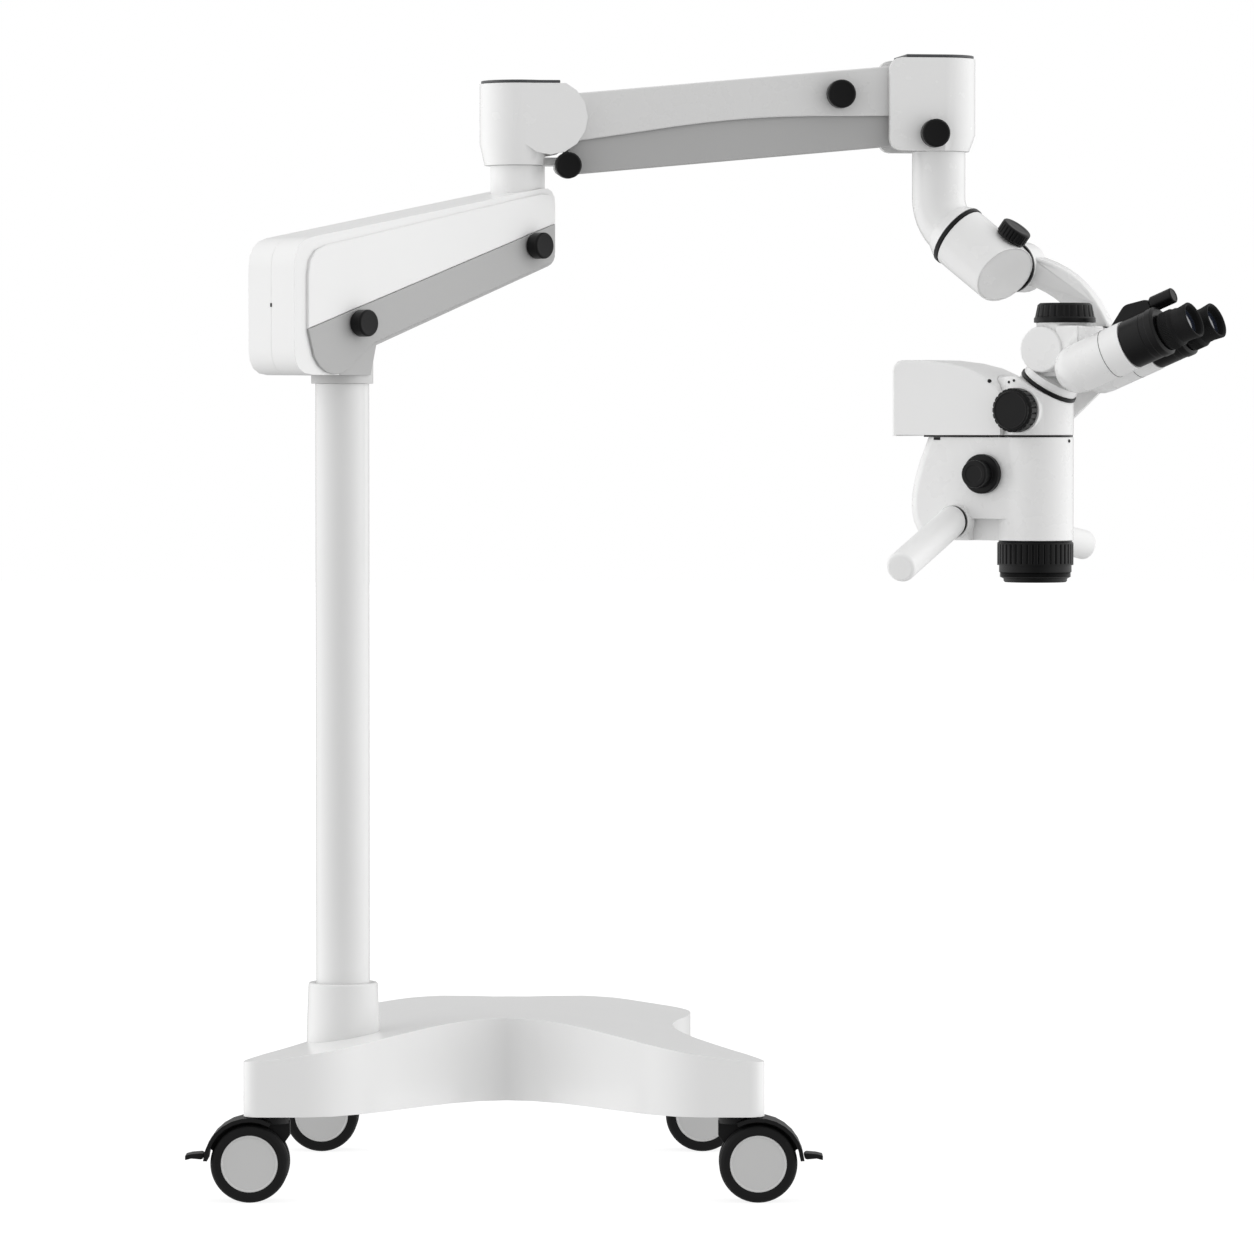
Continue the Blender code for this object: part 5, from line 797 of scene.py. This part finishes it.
build = spun(rounded(objective_outline(), 0.0004, rounds=2), KNURL_COUNT * FLUTE_STEPS)
fluted(build, KNURL_LOW + 0.0019, RING_TOP - 0.0046, KNURL_RADIUS, KNURL_COUNT, KNURL_DEPTH,
       KNURL_WIDTH)
bmesh.ops.transform(build, matrix=head_space, verts=build.verts)
objective = to_object("objective_ring_finished", build, sharp=50)
fit(objective, anodised, "objective", "black_metal", "objective_ring")
lens = turned_piece("objective_lens_finished", lens_outline(), head_space, edge=0.0)
fit(lens, lens_coating, "head", "lens_glass", "objective_lens")


# Head knobs
# The magnification knob is a fat fluted drum with a raised face. The stepped filter knob sits
# below it, and the focus knob is on the far side. A fourth, further up, locks the inclined swivel.
# All are black mouldings on steel shafts.

DRUM_RADIUS = 0.0295
DRUM_LENGTH = 0.024
FILTER_BASE = 0.0265
FILTER_BASE_LENGTH = 0.0100
FILTER_FRONT = 0.0185
FILTER_LENGTH = 0.0300
FOCUS_RADIUS = 0.019
FOCUS_LENGTH = 0.0220
LOCK_RADIUS = 0.0213
LOCK_NECK = 0.0200
LOCK_LENGTH = 0.0190


def seated(node, turn_joint, outward):
    """The placing of a knob whose back sits where its solid's back is."""
    at = joint(turn_joint)[0]
    back = min((v.co - at).dot(outward) for v in frame["nodes"][node].data.vertices)
    return along(at + outward * back, outward)


def head_knob(body, outward, outline, **grip):
    """One of the fluted knobs, in the place of its solid."""
    node = body + "_knob"
    piece = knob(node + "_finished", outline, seated(node, body + "_turn", outward), **grip)
    fit(piece, knob_plastic, body, "black_plastic", node)


head_knob("magnification", near_side,
          [(0.0, DRUM_LENGTH - 0.0006), (DRUM_RADIUS * 0.76, DRUM_LENGTH - 0.0006),
           (DRUM_RADIUS * 0.78, DRUM_LENGTH), (DRUM_RADIUS * 0.83, DRUM_LENGTH),
           (DRUM_RADIUS * 0.86, DRUM_LENGTH - 0.0010), (DRUM_RADIUS * 0.88, DRUM_LENGTH - 0.0040),
           (DRUM_RADIUS - 0.0012, DRUM_LENGTH - 0.0046), (DRUM_RADIUS, DRUM_LENGTH - 0.0060),
           (DRUM_RADIUS, DRUM_LENGTH - 0.0064), (DRUM_RADIUS, 0.0060), (DRUM_RADIUS, 0.0055),
           (DRUM_RADIUS, 0.0020), (DRUM_RADIUS - 0.0010, 0.0), (0.0, 0.0)],
          ribs=22, low=0.0054, high=DRUM_LENGTH - 0.0040, depth=0.0013, edge=0.0005, width=0.42)
head_knob("filter", near_side,
          [(0.0, FILTER_LENGTH - 0.0006), (FILTER_FRONT * 0.62, FILTER_LENGTH - 0.0006),
           (FILTER_FRONT * 0.66, FILTER_LENGTH), (FILTER_FRONT - 0.0015, FILTER_LENGTH),
           (FILTER_FRONT, FILTER_LENGTH - 0.0015), (FILTER_FRONT, FILTER_BASE_LENGTH + 0.0005),
           (FILTER_BASE - 0.0016, FILTER_BASE_LENGTH), (FILTER_BASE, FILTER_BASE_LENGTH - 0.0016),
           (FILTER_BASE, 0.0), (0.0, 0.0)],
          ribs=14, low=0.0130, high=FILTER_LENGTH - 0.0030, depth=0.0012, width=0.75)
head_knob("focus", far_side,
          [(0.0, FOCUS_LENGTH - 0.0006), (FOCUS_RADIUS * 0.7, FOCUS_LENGTH - 0.0006),
           (FOCUS_RADIUS - 0.0016, FOCUS_LENGTH), (FOCUS_RADIUS, FOCUS_LENGTH - 0.0016),
           (FOCUS_RADIUS, 0.0020), (FOCUS_RADIUS - 0.001, 0.0), (0.0, 0.0)],
          ribs=14, low=0.0030, high=FOCUS_LENGTH - 0.0025, depth=0.0012, width=0.75)
head_knob("roll_lock", joint("roll_lock_turn")[1],
          [(0.0, LOCK_LENGTH - 0.0006), (0.0120, LOCK_LENGTH - 0.0006), (0.0150, LOCK_LENGTH),
           (LOCK_RADIUS - 0.0015, LOCK_LENGTH), (LOCK_RADIUS, LOCK_LENGTH - 0.0018),
           (LOCK_RADIUS, 0.0030), (LOCK_NECK, 0.0016), (LOCK_NECK, 0.0), (0.0, 0.0)],
          ribs=24, low=0.0036, high=LOCK_LENGTH - 0.0022, depth=0.0012, width=0.55)


# Handles
# Straight white grips, one on each side, that lean down and forwards from a turning boss. A thin
# black ring parts each from the body, and the outer end is closed by a rounded cap.

GRIP_WHITE = (0.885, 0.885, 0.882)
GRIP_RADIUS = 0.0202
GRIP_ROUND = 0.0055
GRIP_ROUND_STEPS = 8
GRIP_STEPS = 72
GRIP_ROOT = 0.020
GRIP_PLAY = 0.0002
GRIP_REACH = 0.0615
GRIP_END = 0.250
GRIP_DROP = {"near": math.radians(70.0), "far": math.radians(36.5)}
BOSS_FACE = 0.056
BOSS_RING = 0.004
BOSS_BORE = 0.0108
BOSS_RING_PROUD = 0.0012

grip_white = finish("grip white", GRIP_WHITE, roughness=0.42, drift=0.010, grain=1300.0,
                    height=0.04)


def grip_outline(length):
    """A round bar whose outer end is eased by a quarter circle."""
    points = [(0.0, length), (GRIP_RADIUS - GRIP_ROUND, length)]
    for i in range(1, GRIP_ROUND_STEPS + 1):
        angle = math.pi / 2 * i / GRIP_ROUND_STEPS
        points.append((GRIP_RADIUS - GRIP_ROUND * (1 - math.sin(angle)),
                       length - GRIP_ROUND * (1 - math.cos(angle))))
    return points + [(GRIP_RADIUS, -GRIP_ROOT), (0.0, -GRIP_ROOT)]


for side, sign, turned in (("near", -1.0, toward_near), ("far", 1.0, toward_far)):
    boss = into_head @ joint("handle_" + side + "_turn")[0]
    drop = GRIP_DROP[side]
    start = Vector((boss.x, sign * (BOSS_FACE + BOSS_RING), boss.z))
    end = Vector((boss.x + GRIP_REACH * math.cos(drop), sign * GRIP_END,
                  boss.z - GRIP_REACH * math.sin(drop)))
    build = spun(grip_outline((end - start).length), GRIP_STEPS)
    bmesh.ops.transform(build, matrix=along(start, end - start), verts=build.verts)
    cut = bmesh.ops.bisect_plane(build, geom=build.verts[:] + build.edges[:] + build.faces[:],
                                 plane_co=start + Vector((0.0, sign * GRIP_PLAY, 0.0)),
                                 plane_no=(0.0, -sign, 0.0), clear_outer=True)
    loop = [part for part in cut["geom_cut"] if isinstance(part, bmesh.types.BMEdge)]
    bmesh.ops.contextual_create(build, geom=loop)
    bmesh.ops.recalc_face_normals(build, faces=build.faces)
    bmesh.ops.transform(build, matrix=head_space, verts=build.verts)
    grip = to_object("handle_" + side + "_finished", build)
    fit(grip, grip_white, "handle_" + side + "_grip", "cover_white", "handle_" + side)
    face = head_space @ Matrix.Translation((boss.x, sign * BOSS_FACE, boss.z))
    boss_ring = turned_piece("handle_ring_" + side,
                             washer(BOSS_BORE, GRIP_RADIUS + BOSS_RING_PROUD, GRIP_PLAY, BOSS_RING),
                             face @ turned, edge=0.0005)
    fit(boss_ring, ring_black, "head", "black_plastic")


# Swivel rings
# Two thin rings of moulded black plastic, pressed between the yoke's hubs and what they turn on,
# so that each swivel holds by friction.

SWIVEL_BORE = 0.0125
TILT_RING_RADIUS = 0.0355
TILT_RING_FROM = 0.0463
TILT_RING_TO = 0.0511
HUB_RING_RADIUS = 0.0385
HUB_RING_FROM = 0.0765
HUB_RING_TO = 0.0803


def swivel_ring(name, turn_joint, body, radius, start, end):
    """A ring on a swivel's axis, between two distances from the head's middle plane."""
    at = into_head @ joint(turn_joint)[0]
    axis = head_space @ Matrix.Translation((at.x, 0.0, at.z)) @ toward_far
    piece = turned_piece(name, washer(SWIVEL_BORE, radius, start, end), axis, edge=0.0005)
    fit(piece, ring_black, body, "black_plastic")


swivel_ring("tilt_ring", "yoke_tilt", "roll_block", TILT_RING_RADIUS, TILT_RING_FROM, TILT_RING_TO)
swivel_ring("head_hub_ring", "head_tilt", "head", HUB_RING_RADIUS, HUB_RING_FROM, HUB_RING_TO)


# Binocular
# A black ring clamps a short white neck on the slanted seat. The white body inclines on it and
# ends in two barrels, and the black moulded cap closes the camera port on top.

SEAT_SLANT = math.radians(32.0)
CLAMP_INNER = 0.024
CLAMP_OUTER = 0.0405
CLAMP_HEIGHT = 0.005
CAP_FOOT = 0.0412
CAP_WAIST = 0.0395
CAP_TOP = 0.0330
CAP_LOW = 1.1278
CAP_HIGH = 1.1540

seat_points = [v.co for v in frame["nodes"]["interface_ring"].data.vertices]
seat_middle = sum(seat_points, Vector()) / len(seat_points)
seat_axis = head_space.to_3x3() @ Vector((math.sin(SEAT_SLANT), 0.0, math.cos(SEAT_SLANT)))
clamp = turned_piece("interface_ring_finished", washer(CLAMP_INNER, CLAMP_OUTER, 0.0, CLAMP_HEIGHT),
                     along(seat_middle - seat_axis * CLAMP_HEIGHT / 2, seat_axis), edge=0.0008)
fit(clamp, ring_black, "head", "black_metal", "interface_ring")
dressed("binocular_base", head_enamel, "head", "arm_paint", edge=0.0006, sharp=42)
dressed("binocular_body", head_enamel, "binocular", "cover_white", edge=0.0010, sharp=42)

cap_at = joint("port_cover_turn")[0]
cap_outline = [(0.0, CAP_HIGH - 0.0010), (CAP_TOP - 0.006, CAP_HIGH - 0.0010),
               (CAP_TOP - 0.004, CAP_HIGH), (CAP_TOP, CAP_HIGH),
               (CAP_TOP + 0.0030, CAP_HIGH - 0.0024), (CAP_TOP + 0.0034, CAP_HIGH - 0.0030),
               (CAP_WAIST, CAP_LOW + 0.0084), (CAP_WAIST + 0.0002, CAP_LOW + 0.0078),
               (CAP_FOOT, CAP_LOW + 0.0056), (CAP_FOOT, CAP_LOW), (0.0, CAP_LOW)]
cap = knob("port_cap_finished", cap_outline, Matrix.Translation((cap_at.x, cap_at.y, 0.0)),
           ribs=24, low=CAP_LOW + 0.0077, high=CAP_HIGH - 0.0022, depth=0.0018, edge=0.0005,
           width=0.45)
fit(cap, knob_plastic, "port_cover", "black_plastic", "port_cap")


# Eye tubes and bridge
# Black anodised tubes turn on the barrels to set the eye distance, tied by a bridge with a small
# knurled dial. Each carries an off-centre eyepiece with a dioptre ring and a soft rubber cup.

EYE_TUBE_RADIUS = 0.0335
EYE_TUBE_START = 0.019
EYE_TUBE_END = 0.072
EYE_TUBE_WAIST = 0.0325
EYE_TUBE_GROOVE = 0.0319
SPIGOT_RADIUS = 0.012
CUP_RADIUS = 0.0245
OCULAR_RADIUS = 0.0260
OCULAR_NECK = 0.0240
OCULAR_SEAT = 0.0123
OCULAR_TOP = 0.0570
OCULAR_RIBS = 72
OCULAR_RIB_DEPTH = 0.0006
OCULAR_STEPS = 288
GLASS_RADIUS = 0.0172
GLASS_SINK = 0.0080
GLASS_FALL = 0.0015
GLASS_BACK = 0.0097
GLASS_STEPS = 9
BARREL_RADIUS = 0.0335
JOINT_AT = -0.0300
JOINT_WIDTH = 0.0007
JOINT_DEPTH = 0.0008
JOINT_PROUD = 0.0001
DIAL_RADIUS = 0.0105
DIAL_NECK = 0.0092
DIAL_SHAFT = 0.0040
DIAL_FROM = 0.0192
DIAL_TO = 0.0530

cup_rubber = finish("eyecup rubber", RUBBER_BLACK, roughness=0.66, drift=0.08, spread=0.08,
                    grain=1400.0, height=0.09, mirror=0.18)


def eye_tube_outline():
    """A short tube with a chamfered head, a waist with one groove, and its spigot."""
    top, foot = EYE_TUBE_END, EYE_TUBE_START
    return [(0.0, top), (EYE_TUBE_RADIUS - 0.0040, top), (EYE_TUBE_RADIUS, top - 0.0030),
            (EYE_TUBE_RADIUS, top - 0.0120), (EYE_TUBE_WAIST, top - 0.0126),
            (EYE_TUBE_WAIST, top - 0.0200), (EYE_TUBE_GROOVE, top - 0.0204),
            (EYE_TUBE_GROOVE, top - 0.0216), (EYE_TUBE_WAIST, top - 0.0220),
            (EYE_TUBE_WAIST, foot + 0.0020), (EYE_TUBE_RADIUS - 0.0022, foot),
            (SPIGOT_RADIUS, foot), (SPIGOT_RADIUS, 0.0), (0.0, 0.0)]


def ocular_outline():
    """A flared rubber cup round a sunk glass, and the wider dioptre ring below it."""
    top, seat = OCULAR_TOP, OCULAR_SEAT
    return [(0.0, top - 0.0100), (CUP_RADIUS - 0.0060, top - 0.0100),
            (CUP_RADIUS - 0.0044, top - 0.0030), (CUP_RADIUS - 0.0030, top - 0.0006),
            (CUP_RADIUS - 0.0012, top), (CUP_RADIUS, top - 0.0010),
            (CUP_RADIUS - 0.0006, top - 0.0060), (CUP_RADIUS - 0.0016, top - 0.0150),
            (CUP_RADIUS - 0.0014, seat + 0.0215), (CUP_RADIUS, seat + 0.0200),
            (OCULAR_RADIUS, seat + 0.0170), (OCULAR_RADIUS, seat + 0.0152),
            (OCULAR_RADIUS, seat + 0.0048), (OCULAR_RADIUS, seat + 0.0030),
            (OCULAR_NECK, seat), (OCULAR_NECK, seat - 0.0001), (0.0, seat - 0.0001)]


def glass_outline():
    """A plano-convex glass whose bulge faces the eye."""
    bulge = []
    for i in range(GLASS_STEPS + 1):
        share = i / GLASS_STEPS
        bulge.append((GLASS_RADIUS * share, OCULAR_TOP - GLASS_SINK - GLASS_FALL * share ** 2))
    return bulge + [(GLASS_RADIUS, OCULAR_TOP - GLASS_BACK), (0.0, OCULAR_TOP - GLASS_BACK)]


for side in ("near", "far"):
    out = joint("eye_distance_" + side)[1]
    sleeve = turned_piece("eye_tube_" + side + "_finished", eye_tube_outline(),
                          seated("eye_tube_" + side, "eye_distance_" + side, out), edge=0.0005)
    fit(sleeve, anodised, "eye_tube_" + side + "_body", "black_metal", "eye_tube_" + side)
    eye_body = "eyepiece_" + side + "_body"
    eye_place = seated("eyepiece_" + side, "dioptre_" + side, joint("dioptre_" + side)[1])
    build = spun(rounded(ocular_outline(), 0.0006), OCULAR_STEPS)
    fluted(build, OCULAR_SEAT + 0.0044, OCULAR_SEAT + 0.0156, OCULAR_RADIUS, OCULAR_RIBS,
           OCULAR_RIB_DEPTH)
    bmesh.ops.transform(build, matrix=eye_place, verts=build.verts)
    ocular = to_object("eyepiece_" + side + "_finished", build, sharp=50)
    fit(ocular, cup_rubber, eye_body, "black_plastic", "eyepiece_" + side)
    glass = turned_piece("eye_lens_" + side, glass_outline(), eye_place, edge=0.0)
    fit(glass, lens_coating, eye_body, "lens_glass")

for side in ("near", "far"):
    at, out = joint("eye_distance_" + side)
    line = turned_piece("barrel_joint_" + side, washer(BARREL_RADIUS - JOINT_DEPTH,
                                                       BARREL_RADIUS + JOINT_PROUD, 0.0,
                                                       JOINT_WIDTH),
                        along(at + out * JOINT_AT, out), edge=0.0)
    fit(line, seam_dark, "binocular", "black_plastic")

dressed("eye_bridge", knob_plastic, "binocular", "black_plastic", edge=0.0012)
dial_outline = [(0.0, DIAL_TO - 0.0006), (0.0070, DIAL_TO - 0.0006), (0.0078, DIAL_TO),
                (DIAL_NECK, DIAL_TO), (DIAL_RADIUS, DIAL_TO - 0.0014),
                (DIAL_RADIUS, DIAL_FROM + 0.0018), (DIAL_NECK, DIAL_FROM),
                (DIAL_SHAFT, DIAL_FROM), (DIAL_SHAFT, 0.0), (0.0, 0.0)]
dial_turn = "eye_distance_dial_turn"
dial = knob("eye_distance_knob_finished", dial_outline,
            seated("eye_distance_knob", dial_turn, joint(dial_turn)[1]), ribs=20,
            low=DIAL_FROM + 0.0030, high=DIAL_TO - 0.0022, depth=0.0007, edge=0.0004)
fit(dial, knob_plastic, "eye_distance_dial", "black_plastic", "eye_distance_knob")
